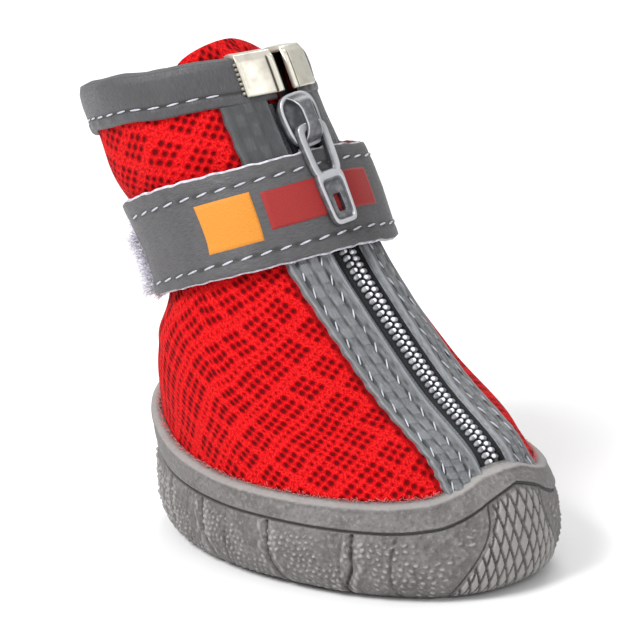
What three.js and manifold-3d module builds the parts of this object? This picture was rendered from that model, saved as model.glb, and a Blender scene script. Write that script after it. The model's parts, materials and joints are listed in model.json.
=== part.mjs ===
// A dog boot: a hollow red mesh upper on a moulded rubber sole, closed by a zip up the front and a strap round the ankle.
// Millimetres, +Z up, toe along +X, left side +Y. The origin is on the flat tread under the middle of the sole.
// Round the boot, the angle u is 0 at the front and grows towards the left side; v climbs from the insole (0) to the
// collar (1), and an offset is measured outwards from the upper's outer face.
import * as THREE from "three";
import { mergeVertices } from "three/addons/utils/BufferGeometryUtils.js";
import Module from "manifold-3d";

const wasm = await Module();
wasm.setup();

// ---- driving sizes ----
const SOLE_LENGTH = 75;
const SOLE_WIDTH = 54;
const SOLE_WIDEST = 0.49; // from the toe, as a share of the length
const SOLE_TOE_ROUND = 2.25; // exponent of the outline's front half
const SOLE_HEEL_ROUND = 1.75;
const SOLE_FLOOR = 5.7; // top of the rubber under the insole
const TOE_SPRING_FROM = 21;
const TOE_SPRING_TO = 34;
const TOE_SPRING = 0.9;
const HEEL_SPRING_FROM = -29;
const HEEL_SPRING_TO = -35;
const HEEL_SPRING = 0.8;
const GAP = 0.3; // between neighbouring pieces
const RAND_WALL = 1.1;
const LUG_DEPTH = 2;
const UPPER_WALL = 2;
const INSOLE_THICK = 2.2;
const ZIP_SLOT = 6.8; // between the two facings
const ZIP_FROM = 0.222; // v of the zip's lower end
const ZIP_TO = 0.922; // its upper end, under the collar tape
const ZIP_TWIST = THREE.MathUtils.degToRad(-9); // the zip wanders to the right side near the collar
const COIL_WIDTH = 4.4;
const TAPE_WIDTH = 15;
const FACING_THICK = 0.7;
const FACING_TOP = 0.918; // v of their upper end, under the collar tape
const FACING_WIDTH = 7.7;
const FACING_FLARE = 0.3; // how much wider the facings are at the collar
const BINDING_DROP = 7.7; // height of the collar tape
const BINDING_THICK = 0.8;
const STRAP_LIFT = 1.3; // inner face of the strap over the facings
const STRAP_THICK = 1.2;
const STRAP_LOW = 0.672;
const STRAP_HIGH = 0.838;
const CLIP_WIDTH = 5.7;
const CLIP_THICK = 0.6;
const CLIP_GAP = 1.9; // between the two clips
const SLIDER_V = 0.886;
const SLIDER_WIDTH = 7.4;
const SLIDER_LENGTH = 9.2;
const PULL_LENGTH = 16.6;
const PULL_WIDTH = 6;
const PULL_THICK = 1.2;
const PIN_RADIUS = 0.6;

// Rows of numbers as objects with named columns.
function table(names, rows) {
  return rows.map((row) => Object.fromEntries(names.map((name, i) => [name, row[i]])));
}

// Cross-sections of the upper, each a slanted ring: x and z of its front and back point, half its width, the exponents
// that point its front and round its back, and how far its right and left sides ride above the slant. The soft collar
// leans: its left side lies lower than its right one.
const UPPER_SECTIONS = table(
  ["v", "frontX", "frontZ", "backX", "backZ", "half", "frontRound", "backRound", "rightLift", "leftLift"],
  [
    [0.0, 32.0, 6.0, -34.4, 6.0, 24.0, 2.1, 1.8, 0, 0],
    [0.12, 32.4, 15.0, -35.4, 15.0, 25.1, 2.05, 1.83, 0, 0],
    [0.24, 29.9, 20.5, -35.8, 21.0, 25.1, 1.82, 1.88, 0, 0],
    [0.42, 17.6, 30.3, -35.4, 27.8, 23.6, 1.66, 1.94, 0, 0],
    [0.58, 5.9, 41.8, -34.4, 33.2, 20.6, 1.62, 2.0, 0.3, 0.3],
    [0.67, -0.9, 49.9, -33.6, 37.3, 17.9, 1.68, 2.0, 0.7, 0.7],
    [0.75, -4.5, 57.0, -35.9, 42.8, 16.6, 1.78, 2.0, 0.9, 0.7],
    [0.83, -7.8, 64.0, -41.4, 49.3, 16.6, 1.72, 2.0, 1.2, 0.3],
    [0.9, -11.4, 70.5, -47.9, 56.9, 17.4, 1.62, 2.0, 1.8, -0.6],
    [1.0, -16.2, 79.9, -52.6, 67.9, 18.0, 1.58, 2.0, 1.9, -1.9],
  ],
);
const SECTION_MIDDLE = 0.52; // where the widest point lies between back and front

// Heights round the sole, by angle in degrees from the toe: the groove under the rand, the rand's top as v on the
// upper, and the inset of the tread and of the groove from the outline.
const SOLE_ROUND = table(
  ["angle", "grooveZ", "randV", "treadInset", "grooveInset"],
  [
    [0, 17.6, 0.222, 2.4, 2.4],
    [10, 15.9, 0.214, 2.6, 2.3],
    [20, 13.7, 0.176, 3.3, 2.2],
    [32, 12.1, 0.143, 4.3, 1.9],
    [50, 11.6, 0.133, 5.4, 1.1],
    [90, 11.6, 0.135, 5.8, 0.4],
    [120, 12.0, 0.155, 4.6, 0.2],
    [140, 13.2, 0.2, 3.8, 0.2],
    [160, 14.6, 0.255, 3.6, 0.5],
    [180, 15.0, 0.28, 3.6, 0.7],
  ],
);

// A smooth curve through knots that never overshoots them, straight past both ends.
function smoothCurve(xs, ys) {
  const last = xs.length - 1;
  const slope = ys.slice(1).map((y, i) => (y - ys[i]) / (xs[i + 1] - xs[i]));
  const tangent = xs.map((_, i) => {
    if (i === 0) return slope[0];
    if (i === last) return slope[last - 1];
    if (slope[i - 1] * slope[i] <= 0) return 0;
    return (2 * slope[i - 1] * slope[i]) / (slope[i - 1] + slope[i]);
  });
  return (x) => {
    if (x <= xs[0]) return ys[0] + tangent[0] * (x - xs[0]);
    if (x >= xs[last]) return ys[last] + tangent[last] * (x - xs[last]);
    const i = xs.findIndex((knot) => knot > x) - 1;
    const width = xs[i + 1] - xs[i];
    const t = (x - xs[i]) / width;
    const rise = t * t * (3 - 2 * t);
    const leave = t * (1 - t) * (1 - t) * width * tangent[i];
    const arrive = t * t * (1 - t) * width * tangent[i + 1];
    return ys[i] + (ys[i + 1] - ys[i]) * rise + leave - arrive;
  };
}

// One smooth curve for each column of a table, against its first column.
function smoothTable(rows) {
  const names = Object.keys(rows[0]);
  const xs = rows.map((row) => row[names[0]]);
  const curves = names.slice(1).map((name) => [name, smoothCurve(xs, rows.map((row) => row[name]))]);
  return (x) => Object.fromEntries(curves.map(([name, curve]) => [name, curve(x)]));
}

const sectionAt = smoothTable(UPPER_SECTIONS);
const soleAt = smoothTable(SOLE_ROUND);

function signedPower(value, power) {
  return Math.sign(value) * Math.pow(Math.abs(value), power);
}

// A point on the upper's outer face, moved out by offset.
function upperPoint(v, u, offset = 0) {
  const row = sectionAt(v);
  const runX = row.frontX - row.backX;
  const runZ = row.frontZ - row.backZ;
  const length = Math.hypot(runX, runZ);
  const front = Math.cos(u) > 0;
  const round = 2 / (front ? row.frontRound : row.backRound);
  const reach = length * (front ? 1 - SECTION_MIDDLE : SECTION_MIDDLE) + offset;
  const along = SECTION_MIDDLE * length + reach * signedPower(Math.cos(u), round);
  const lift = Math.sin(u) > 0 ? row.leftLift : row.rightLift;
  return new THREE.Vector3(
    row.backX + (runX / length) * along,
    (row.half + offset) * signedPower(Math.sin(u), round),
    row.backZ + (runZ / length) * along + lift * Math.sin(u) ** 2,
  );
}

// The angle at which a ring has run a given distance from the zip's line, to the left when it is positive.
function zipLine(v) {
  return ZIP_TWIST * THREE.MathUtils.smoothstep(v, 0.45, 1);
}
function angleAcross(v, distance) {
  const step = THREE.MathUtils.degToRad(0.75) * Math.sign(distance);
  let u = zipLine(v);
  let here = upperPoint(v, u);
  for (let run = 0; run < Math.abs(distance); ) {
    const next = upperPoint(v, u + step);
    const length = next.distanceTo(here);
    if (run + length >= Math.abs(distance)) return u + (step * (Math.abs(distance) - run)) / length;
    run += length;
    u += step;
    here = next;
  }
  return u;
}

// The v that lies a given distance below another, down the upper at angle u.
function below(v, u, distance) {
  const step = 0.002;
  let run = 0;
  while (run < distance) {
    run += upperPoint(v, u).distanceTo(upperPoint(v - step, u));
    v -= step;
  }
  return v;
}

// ---- closed meshes from grids ----
function meshFrom(points, faces) {
  const geometry = new THREE.BufferGeometry();
  geometry.setAttribute("position", new THREE.Float32BufferAttribute(points.flatMap((p) => [p.x, p.y, p.z]), 3));
  geometry.setIndex(faces);
  return geometry;
}

// A wall with an inner and an outer face: at(s, t, side) is the point at s along and t up, side 0 inside, 1 outside.
function wall(along, up, ring, at) {
  const columns = ring ? along : along + 1;
  const points = [];
  const faces = [];
  const id = (i, j, side) => (side * (up + 1) + j) * columns + (i % columns);
  const quad = (a, b, c, d) => faces.push(a, b, c, a, c, d);
  for (const side of [0, 1]) {
    for (let j = 0; j <= up; j++) {
      for (let i = 0; i < columns; i++) points.push(at(i / along, j / up, side));
    }
  }
  for (let i = 0; i < along; i++) {
    for (let j = 0; j < up; j++) {
      quad(id(i, j, 1), id(i + 1, j, 1), id(i + 1, j + 1, 1), id(i, j + 1, 1));
      quad(id(i, j, 0), id(i, j + 1, 0), id(i + 1, j + 1, 0), id(i + 1, j, 0));
    }
    quad(id(i, 0, 0), id(i + 1, 0, 0), id(i + 1, 0, 1), id(i, 0, 1));
    quad(id(i, up, 1), id(i + 1, up, 1), id(i + 1, up, 0), id(i, up, 0));
  }
  for (let j = 0; j < up && !ring; j++) {
    quad(id(0, j, 0), id(0, j, 1), id(0, j + 1, 1), id(0, j + 1, 0));
    quad(id(along, j, 1), id(along, j, 0), id(along, j + 1, 0), id(along, j + 1, 1));
  }
  return meshFrom(points, faces);
}

// A closed profile of [v, offset] corners, anticlockwise with offset to the right, swept along s from 0 to 1.
function sweep(profile, along, at) {
  const count = profile.length;
  const points = [];
  const faces = [];
  for (let i = 0; i <= along; i++) {
    for (const corner of profile) points.push(at(i / along, corner));
  }
  for (let i = 0; i < along; i++) {
    for (let k = 0; k < count; k++) {
      const next = (k + 1) % count;
      const a = i * count + k;
      const b = (i + 1) * count + k;
      const c = (i + 1) * count + next;
      const d = i * count + next;
      faces.push(a, b, c, a, c, d);
    }
  }
  const flat = profile.map(([v, offset]) => new THREE.Vector2(offset, v * 100));
  for (const [a, b, c] of THREE.ShapeUtils.triangulateShape(flat, [])) {
    faces.push(a, b, c, along * count + a, along * count + c, along * count + b);
  }
  return meshFrom(points, faces);
}

// A solid body through closed rings from bottom to top, closed by a fan at each end.
function body(rings) {
  const count = rings[0].length;
  const points = rings.flat();
  const faces = [];
  const middle = (ring) => {
    const sum = ring.reduce((total, p) => total.add(p), new THREE.Vector3());
    points.push(sum.divideScalar(ring.length));
    return points.length - 1;
  };
  for (let j = 0; j + 1 < rings.length; j++) {
    for (let i = 0; i < count; i++) {
      const next = (i + 1) % count;
      const a = j * count + i;
      const b = j * count + next;
      faces.push(a, b, b + count, a, b + count, a + count);
    }
  }
  const bottom = middle(rings[0]);
  const top = middle(rings[rings.length - 1]);
  const first = (rings.length - 1) * count;
  for (let i = 0; i < count; i++) {
    const next = (i + 1) % count;
    faces.push(bottom, next, i, top, first + i, first + next);
  }
  return meshFrom(points, faces);
}

// ---- joins and cuts ----
function toSolid(geometry) {
  const bare = new THREE.BufferGeometry();
  const loose = geometry.index ? geometry.toNonIndexed() : geometry;
  bare.setAttribute("position", loose.getAttribute("position"));
  const merged = mergeVertices(bare, 1e-4);
  const vertProperties = new Float32Array(merged.attributes.position.array);
  return new wasm.Manifold(new wasm.Mesh({ numProp: 3, vertProperties, triVerts: new Uint32Array(merged.index.array) }));
}
function fromSolid(solid) {
  const { vertProperties, triVerts } = solid.getMesh();
  const geometry = new THREE.BufferGeometry();
  geometry.setAttribute("position", new THREE.BufferAttribute(new Float32Array(vertProperties), 3));
  geometry.setIndex(new THREE.BufferAttribute(new Uint32Array(triVerts), 1));
  return geometry;
}
function cut(base, ...tools) {
  return fromSolid(tools.reduce((solid, tool) => solid.subtract(toSolid(tool)), toSolid(base)));
}
function join(...pieces) {
  return fromSolid(pieces.map(toSolid).reduce((all, piece) => all.add(piece)));
}

const boot = new THREE.Group();

function add(name, geometry, color, roughness, metalness = 0) {
  const flat = geometry.index ? geometry.toNonIndexed() : geometry;
  flat.computeVertexNormals();
  const mesh = new THREE.Mesh(flat, new THREE.MeshStandardMaterial({ color, roughness, metalness }));
  mesh.name = name;
  boot.add(mesh);
  return mesh;
}

const turn = (s) => s * 2 * Math.PI;
const between = (a, b, t) => a + (b - a) * t;

// ---- upper ----
// The levels of the mesh's facets, closest where the ankle is waisted. It ends under the fold of the collar tape.
const UPPER_LEVELS = [0, 0.1, 0.2, 0.3, 0.4, 0.48, 0.55, 0.61, 0.66, 0.705, 0.75, 0.8, 0.845, 0.91, 0.985];

function upperGeometry() {
  const steps = UPPER_LEVELS.length - 1;
  const shell = wall(56, steps, true, (s, t, side) =>
    upperPoint(UPPER_LEVELS[Math.round(t * steps)], turn(s), side ? 0 : -UPPER_WALL),
  );
  const slot = wall(2, 14, false, (s, t, side) => {
    const v = between(ZIP_FROM, 1.05, t);
    return upperPoint(v, angleAcross(v, (s - 0.5) * (ZIP_SLOT + 1.2)), side ? 3 : -6);
  });
  return cut(shell, slot);
}

// ---- sole ----
function springHeight(x) {
  const toe = Math.max(0, (x - TOE_SPRING_FROM) / (TOE_SPRING_TO - TOE_SPRING_FROM)) ** 2 * TOE_SPRING;
  const heel = THREE.MathUtils.clamp((HEEL_SPRING_FROM - x) / (HEEL_SPRING_FROM - HEEL_SPRING_TO), 0, 1) * HEEL_SPRING;
  return toe + heel;
}

// The sole's outline from above, drawn in by an inset.
function outline(u, inset) {
  const c = Math.cos(u);
  const widestX = SOLE_LENGTH / 2 - SOLE_LENGTH * SOLE_WIDEST;
  const reach = SOLE_LENGTH * (c > 0 ? SOLE_WIDEST : 1 - SOLE_WIDEST) - inset;
  const round = 2 / (c > 0 ? SOLE_TOE_ROUND : SOLE_HEEL_ROUND);
  return [widestX + reach * signedPower(c, round), (SOLE_WIDTH / 2 - inset) * signedPower(Math.sin(u), round)];
}

const SOLE_STEPS = 56;

// The rows of the sole's side from the tread up: the share of the groove's height and of the tread's inset.
const SIDE_PROFILE = table(
  ["rise", "inset"],
  [
    [0, 1],
    [0.13, 0.55],
    [0.38, 0.2],
    [0.7, 0.03],
    [0.96, 0],
  ],
);

function soleRing(at) {
  return Array.from({ length: SOLE_STEPS }, (_, i) => {
    const u = turn(i / SOLE_STEPS);
    const degrees = THREE.MathUtils.radToDeg(Math.min(u, 2 * Math.PI - u));
    return at(u, soleAt(degrees));
  });
}

function soleForm() {
  const rings = [];
  for (const share of [0.3, 0.6, 0.85]) {
    rings.push(
      soleRing((u, row) => {
        const [x, y] = outline(u, row.treadInset);
        return new THREE.Vector3(x * share, y * share, springHeight(x * share));
      }),
    );
  }
  for (const { rise, inset } of SIDE_PROFILE) {
    rings.push(
      soleRing((u, row) => {
        const [x, y] = outline(u, row.grooveInset * rise ** 2 + row.treadInset * inset);
        const tread = springHeight(outline(u, row.treadInset)[0]);
        return new THREE.Vector3(x, y, between(tread, row.grooveZ, rise));
      }),
    );
  }
  const groove = (u, row) => {
    const [x, y] = outline(u, row.grooveInset);
    return new THREE.Vector3(x, y, row.grooveZ + 0.5);
  };
  const lip = (u, row) => upperPoint(row.randV, u, GAP + RAND_WALL);
  rings.push(soleRing(groove));
  rings.push(soleRing((u, row) => {
    const point = groove(u, row).lerp(lip(u, row), 0.5);
    const out = new THREE.Vector3(Math.cos(u), Math.sin(u), 0.3);
    return point.addScaledVector(out, 0.25);
  }));
  rings.push(soleRing(lip));
  rings.push(soleRing((u, row) => upperPoint(row.randV + 0.008, u, GAP + 0.7)));
  rings.push(soleRing((u, row) => upperPoint(row.randV, u, -1.5)));
  return body(rings);
}

// The room for the upper and insole inside the rubber.
function soleRoom() {
  const ring = (v, z) =>
    Array.from({ length: SOLE_STEPS }, (_, i) => {
      const point = upperPoint(v, turn(i / SOLE_STEPS), GAP);
      return z === undefined ? point : point.setZ(z);
    });
  return body([ring(0, SOLE_FLOOR), ring(0), ring(0.06), ring(0.12), ring(0.18), ring(0.24), ring(0.32), ring(0.4)]);
}

// A groove of the tread: an upright ribbon along [x, y] points, as deep as a lug.
function treadGroove(path, width) {
  const points = path.map(([x, y]) => new THREE.Vector2(x, y));
  const sides = [[], []];
  points.forEach((p, i) => {
    const before = points[Math.max(i - 1, 0)];
    const after = points[Math.min(i + 1, points.length - 1)];
    const run = after.clone().sub(before).normalize();
    const across = new THREE.Vector2(-run.y, run.x).multiplyScalar(width / 2);
    sides[0].push(p.clone().sub(across));
    sides[1].push(p.clone().add(across));
  });
  return wall(points.length - 1, 1, false, (s, t, side) => {
    const p = sides[1 - side][Math.round(s * (points.length - 1))];
    return new THREE.Vector3(p.x, p.y, t ? springHeight(p.x) + LUG_DEPTH : -3);
  });
}

// The fish-shaped middle of the tread: half its width by x.
const CENTRE_HALF = table(
  ["x", "half"],
  [
    [-27, 3.5],
    [-20.5, 5.2],
    [-14.5, 5.6],
    [-8.7, 7.6],
    [-2.8, 11.2],
    [3.1, 14.1],
    [10.1, 15.3],
    [16, 14.4],
    [20.7, 10.6],
    [24.8, 7.6],
    [31.3, 8.8],
  ],
);
const GROOVE_WIDTH = 1.5;
const TOE_LINE_X = 31.4;
const HEEL_LINE_X = -21;
const SIDE_GROOVES = table(
  ["x", "bend"],
  [
    [20.2, 2.5],
    [8.3, 1.5],
    [-9.8, -1.5],
    [-22.5, -3],
  ],
);
const MIDDLE_GROOVES_X = [18.1, -5.6];

function treadGrooves() {
  const half = smoothTable(CENTRE_HALF);
  const xs = Array.from({ length: 19 }, (_, i) => between(HEEL_LINE_X, TOE_LINE_X - 0.6, i / 18));
  const grooves = [1, -1].map((side) => treadGroove(xs.map((x) => [x, side * half(x).half]), GROOVE_WIDTH));
  const reach = SOLE_WIDTH / 2 + 2;
  for (const x of [TOE_LINE_X, HEEL_LINE_X]) {
    const to = x === TOE_LINE_X ? reach : half(x).half + 0.5;
    grooves.push(treadGroove([[x, to], [x + 0.5, 0], [x, -to]], GROOVE_WIDTH));
  }
  for (const { x, bend } of SIDE_GROOVES) {
    for (const side of [1, -1]) {
      const from = half(x).half;
      const path = [0, 0.33, 0.67, 1].map((t) => [x - bend * t * t, side * between(from, reach, t)]);
      grooves.push(treadGroove(side > 0 ? path : path.reverse(), GROOVE_WIDTH));
    }
  }
  for (const x of MIDDLE_GROOVES_X) {
    const to = half(x).half;
    grooves.push(treadGroove([[x, to], [x - 1, 0], [x, -to]], GROOVE_WIDTH));
  }
  return grooves;
}

function soleGeometry() {
  return cut(soleForm(), soleRoom(), ...treadGrooves());
}

// ---- insole ----
function insoleGeometry() {
  const ring = (v, inset) =>
    Array.from({ length: 48 }, (_, i) => upperPoint(v, turn(i / 48), -UPPER_WALL - GAP - inset));
  const base = SOLE_FLOOR + GAP;
  return body([
    ring(0, 0).map((p) => p.setZ(base)),
    ring(0, 0).map((p) => p.setZ(base + INSOLE_THICK * 0.75)),
    ring(0, 1.2).map((p) => p.setZ(base + INSOLE_THICK)),
  ]);
}

// ---- zip ----
const TAPE_TOP = UPPER_WALL + GAP + 0.15; // depth of the tape's outer face under the upper's
const TAPE_THICK = 0.6;
const COIL_TOP = 0.5;

function zipChainGeometry() {
  const columns = table(
    ["across", "depth"],
    [
      [-TAPE_WIDTH / 2, TAPE_TOP],
      [-COIL_WIDTH / 2 - 0.3, TAPE_TOP],
      [-COIL_WIDTH / 2, COIL_TOP + 0.6],
      [-COIL_WIDTH / 2 + 0.8, COIL_TOP],
      [COIL_WIDTH / 2 - 0.8, COIL_TOP],
      [COIL_WIDTH / 2, COIL_TOP + 0.6],
      [COIL_WIDTH / 2 + 0.3, TAPE_TOP],
      [TAPE_WIDTH / 2, TAPE_TOP],
    ],
  );
  return wall(columns.length - 1, 16, false, (s, t, side) => {
    const column = columns[Math.round(s * (columns.length - 1))];
    const v = between(ZIP_FROM + 0.012, ZIP_TO, t);
    return upperPoint(v, angleAcross(v, column.across || 1e-6), side ? -column.depth : -TAPE_TOP - TAPE_THICK);
  });
}

// The v at which the sole's rand ends, at angle u.
function randTop(u) {
  return soleAt(Math.abs(THREE.MathUtils.radToDeg(u))).randV;
}

function facingGeometry(side) {
  return wall(3, 16, false, (s, t, face) => {
    const share = side > 0 ? s : 1 - s;
    const foot = randTop(angleAcross(0.22, side * (ZIP_SLOT / 2 + share * FACING_WIDTH))) + 0.018;
    const v = between(foot, FACING_TOP, t);
    const width = FACING_WIDTH + FACING_FLARE * THREE.MathUtils.smoothstep(v, 0.7, 0.9);
    const u = angleAcross(v, side * (ZIP_SLOT / 2 + share * width));
    return upperPoint(v, u, GAP + (face ? FACING_THICK : 0));
  });
}

// ---- collar tape and its clips ----
// A channel over the collar's edge: two legs and the fold between them, as [drop below the top, offset] corners.
function channel(outer, inner, thick, fold, drop) {
  return [
    [-drop, outer],
    [-drop, outer + thick],
    [-0.4, outer + thick],
    [0.3, outer + thick * 0.3],
    [0.3, inner - thick * 0.3],
    [-0.4, inner - thick],
    [-drop, inner - thick],
    [-drop, inner],
    [-fold, inner],
    [-fold, outer],
  ];
}

// Places a channel's corner at angle u.
function onCollar(u, [drop, offset]) {
  const v = drop > 0 ? 1 + drop / 100 : below(1, u, -drop);
  return upperPoint(v, u, offset);
}

const BINDING_OUT = GAP;
const BINDING_IN = -UPPER_WALL - GAP;

function bindingGeometry() {
  const profile = channel(BINDING_OUT, BINDING_IN, BINDING_THICK, 0.9, BINDING_DROP);
  const start = angleAcross(1, CLIP_GAP / 2 + CLIP_THICK + GAP);
  const end = angleAcross(1, -CLIP_GAP / 2 - CLIP_THICK - GAP) + 2 * Math.PI;
  return sweep(profile, 44, (s, corner) => onCollar(between(start, end, s), corner));
}

function clipGeometry(side) {
  const outer = BINDING_OUT + BINDING_THICK + GAP;
  const inner = BINDING_IN - BINDING_THICK - GAP;
  const profile = channel(outer, inner, CLIP_THICK, 0, 7.2).map(([drop, offset]) => [drop + 0.6, offset]);
  const near = CLIP_GAP / 2;
  const far = near + CLIP_WIDTH;
  const sleeve = sweep(profile, 3, (s, corner) => {
    const share = side > 0 ? s : 1 - s;
    return onCollar(angleAcross(1, side * between(near, far, share)), corner);
  });
  const solid = [profile[0], profile[1], profile[2], profile[3], profile[4], profile[5], profile[6]];
  const cap = sweep(solid, 1, (s, corner) => {
    const share = side > 0 ? s : 1 - s;
    return onCollar(angleAcross(1, side * between(near, near + CLIP_THICK, share)), corner);
  });
  return join(sleeve, cap);
}

// ---- tongue ----
const TONGUE_THICK = 1.5;
const TONGUE_SPREAD = 0.78; // half its spread round the boot, as an angle, low down and at the collar
const TONGUE_TOP_SPREAD = 1.0;
const TONGUE_RISE = 0.047; // the dome above the collar, in v
const TONGUE_LEAN = 6; // how far its middle leans back from the zip at the top

function tongueGeometry() {
  return wall(10, 16, false, (s, t, side) => {
    const across = (0.5 - s) * -2;
    const dome = TONGUE_RISE * Math.sqrt(Math.max(0, 1 - across ** 2));
    const v = between(0.5, 0.985 + dome, t);
    const lean = TONGUE_LEAN * THREE.MathUtils.smoothstep(v, 0.8, 1.08) * (1 - 0.9 * across ** 2);
    const depth = TAPE_TOP + TAPE_THICK + GAP + 0.1 + lean;
    const spread = between(TONGUE_SPREAD, TONGUE_TOP_SPREAD, THREE.MathUtils.smoothstep(v, 0.75, 1));
    return upperPoint(v, zipLine(v) * 0.6 + across * spread, -depth - (side ? 0 : TONGUE_THICK));
  });
}

// ---- strap and the fleecy patch it grips ----
const STRAP_FROM = THREE.MathUtils.degToRad(-127); // its free end, on the right
const STRAP_BULGE = 2.3; // how far the stiff strap stands off beside the zip, on the left
const STRAP_DIP = 0.011; // and how far it dips there, in v
const STRAP_TO = THREE.MathUtils.degToRad(176);
const PATCH_FROM = THREE.MathUtils.degToRad(-180);
const PATCH_TO = THREE.MathUtils.degToRad(-108);
const PATCH_THICK = 0.7;

function strapGeometry() {
  return wall(42, 5, false, (s, t, side) => {
    const u = between(STRAP_FROM, STRAP_TO, s);
    const sewn = THREE.MathUtils.smoothstep(u, 1, 2);
    const loose = Math.exp(-(((u - 0.62) / 0.33) ** 2));
    const lift = between(STRAP_LIFT, 2 * GAP, sewn) + STRAP_BULGE * loose;
    const v = between(STRAP_LOW, STRAP_HIGH, t) - STRAP_DIP * loose;
    return upperPoint(v, u, lift + (side ? STRAP_THICK : 0));
  });
}

function patchGeometry() {
  return wall(14, 5, false, (s, t, side) => {
    const u = between(PATCH_FROM, PATCH_TO, s);
    return upperPoint(between(STRAP_LOW - 0.004, STRAP_HIGH + 0.002, t), u, 1.5 * GAP + (side ? PATCH_THICK : 0));
  });
}

// ---- slider and pull ----
// Axes at the slider: x across to the left, y up the zip, z outwards.
function sliderFrame() {
  const u = zipLine(SLIDER_V);
  const at = upperPoint(SLIDER_V, u);
  const up = upperPoint(SLIDER_V + 0.03, zipLine(SLIDER_V + 0.03)).sub(at).normalize();
  const left = upperPoint(SLIDER_V, u + 0.05).sub(upperPoint(SLIDER_V, u - 0.05)).normalize();
  const out = left.clone().cross(up).normalize();
  left.crossVectors(up, out).normalize();
  return { at, left, up, out };
}

function placed(geometry, { at, left, up, out }) {
  return geometry.applyMatrix4(new THREE.Matrix4().makeBasis(left, up, out).setPosition(at));
}

// A rounded plate outline, wide at one end and narrow at the other, centred on x, from y = low to y = high.
function taperedOutline(low, high, lowWidth, highWidth, corner) {
  const shape = new THREE.Shape();
  shape.moveTo(-lowWidth / 2 + corner, low);
  shape.lineTo(lowWidth / 2 - corner, low);
  shape.quadraticCurveTo(lowWidth / 2, low, lowWidth / 2, low + corner);
  shape.lineTo(highWidth / 2, high - corner);
  shape.quadraticCurveTo(highWidth / 2, high, highWidth / 2 - corner, high);
  shape.lineTo(-highWidth / 2 + corner, high);
  shape.quadraticCurveTo(-highWidth / 2, high, -highWidth / 2, high - corner);
  shape.lineTo(-lowWidth / 2, low + corner);
  shape.quadraticCurveTo(-lowWidth / 2, low, -lowWidth / 2 + corner, low);
  return shape;
}

const SLIDER_BASE = GAP + FACING_THICK + GAP; // height of the slider's plate over the upper
const SLIDER_PLATE = 1.1;
const BRIDGE_HALF = 3.1;
const BRIDGE_WIDTH = 1.7;
const BRIDGE_THICK = 0.9;
const BRIDGE_ROOM = 2 * PIN_RADIUS + 2 * GAP;
const PIN_HEIGHT = SLIDER_BASE + SLIDER_PLATE + BRIDGE_ROOM / 2;

function sliderGeometry() {
  const plate = new THREE.ExtrudeGeometry(
    taperedOutline(-SLIDER_LENGTH / 2, SLIDER_LENGTH / 2, SLIDER_WIDTH * 0.8, SLIDER_WIDTH, 2),
    { depth: SLIDER_PLATE, bevelEnabled: false, curveSegments: 4 },
  ).translate(0, 0, SLIDER_BASE);
  const block = new THREE.BoxGeometry(ZIP_SLOT - 1, SLIDER_LENGTH - 1.5, SLIDER_BASE + COIL_TOP - GAP + 0.2);
  block.translate(0, 0, (SLIDER_BASE - COIL_TOP + GAP + 0.2) / 2);
  const arch = new THREE.Shape();
  const foot = SLIDER_BASE + SLIDER_PLATE - 0.2;
  const top = SLIDER_BASE + SLIDER_PLATE + BRIDGE_ROOM;
  arch.moveTo(-BRIDGE_HALF - BRIDGE_THICK, foot);
  arch.lineTo(-BRIDGE_HALF, foot);
  arch.lineTo(-BRIDGE_HALF + 0.5, top);
  arch.lineTo(BRIDGE_HALF - 0.5, top);
  arch.lineTo(BRIDGE_HALF, foot);
  arch.lineTo(BRIDGE_HALF + BRIDGE_THICK, foot);
  arch.lineTo(BRIDGE_HALF, top + BRIDGE_THICK * 0.6);
  arch.lineTo(BRIDGE_HALF - 1, top + BRIDGE_THICK);
  arch.lineTo(-BRIDGE_HALF + 1, top + BRIDGE_THICK);
  arch.lineTo(-BRIDGE_HALF, top + BRIDGE_THICK * 0.6);
  const bridge = new THREE.ExtrudeGeometry(arch, { depth: BRIDGE_WIDTH, bevelEnabled: false });
  bridge.translate(0, 0, -BRIDGE_WIDTH / 2);
  // The arch is drawn in the plane of y and z: its x becomes y, its y becomes z.
  bridge.applyMatrix4(new THREE.Matrix4().makeBasis(
    new THREE.Vector3(0, 1, 0),
    new THREE.Vector3(0, 0, 1),
    new THREE.Vector3(1, 0, 0),
  ));
  return placed(join(plate, block, bridge), sliderFrame());
}

// The pull hangs from its pin under the bridge and rests on the strap.
function pullFrame() {
  const { at, left, up, out } = sliderFrame();
  const pin = at.clone().addScaledVector(out, PIN_HEIGHT).addScaledVector(up, -PIN_SHIFT);
  const restV = 0.73;
  const rest = upperPoint(restV, zipLine(restV), STRAP_LIFT + STRAP_THICK + GAP + PULL_THICK / 2 + 0.2);
  const back = pin.clone().sub(rest);
  back.addScaledVector(left, -back.dot(left)).normalize();
  return { at: pin, left, up: back, out: left.clone().cross(back).normalize() };
}
const PIN_SHIFT = 1.6; // the pin hangs at the lower end of the bridge's opening

function pullGeometry() {
  const armWidth = 1.5;
  const outlineShape = taperedOutline(-PULL_LENGTH, PIN_RADIUS, PULL_WIDTH * 0.82, PULL_WIDTH, 1.6);
  const opening = taperedOutline(-7.6, -PIN_RADIUS, PULL_WIDTH - 2 * armWidth - 0.6, PULL_WIDTH - 2 * armWidth, 0.5);
  const slit = taperedOutline(-PULL_LENGTH + 2, -PULL_LENGTH + 5.4, 1.5, 1.5, 0.3);
  outlineShape.holes.push(opening, slit);
  const plate = new THREE.ExtrudeGeometry(outlineShape, { depth: PULL_THICK, bevelEnabled: false, curveSegments: 4 });
  plate.translate(0, 0, -PULL_THICK / 2);
  const pin = new THREE.CylinderGeometry(PIN_RADIUS, PIN_RADIUS, PULL_WIDTH - 1, 16).rotateZ(Math.PI / 2);
  return placed(join(plate, pin), pullFrame());
}

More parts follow.
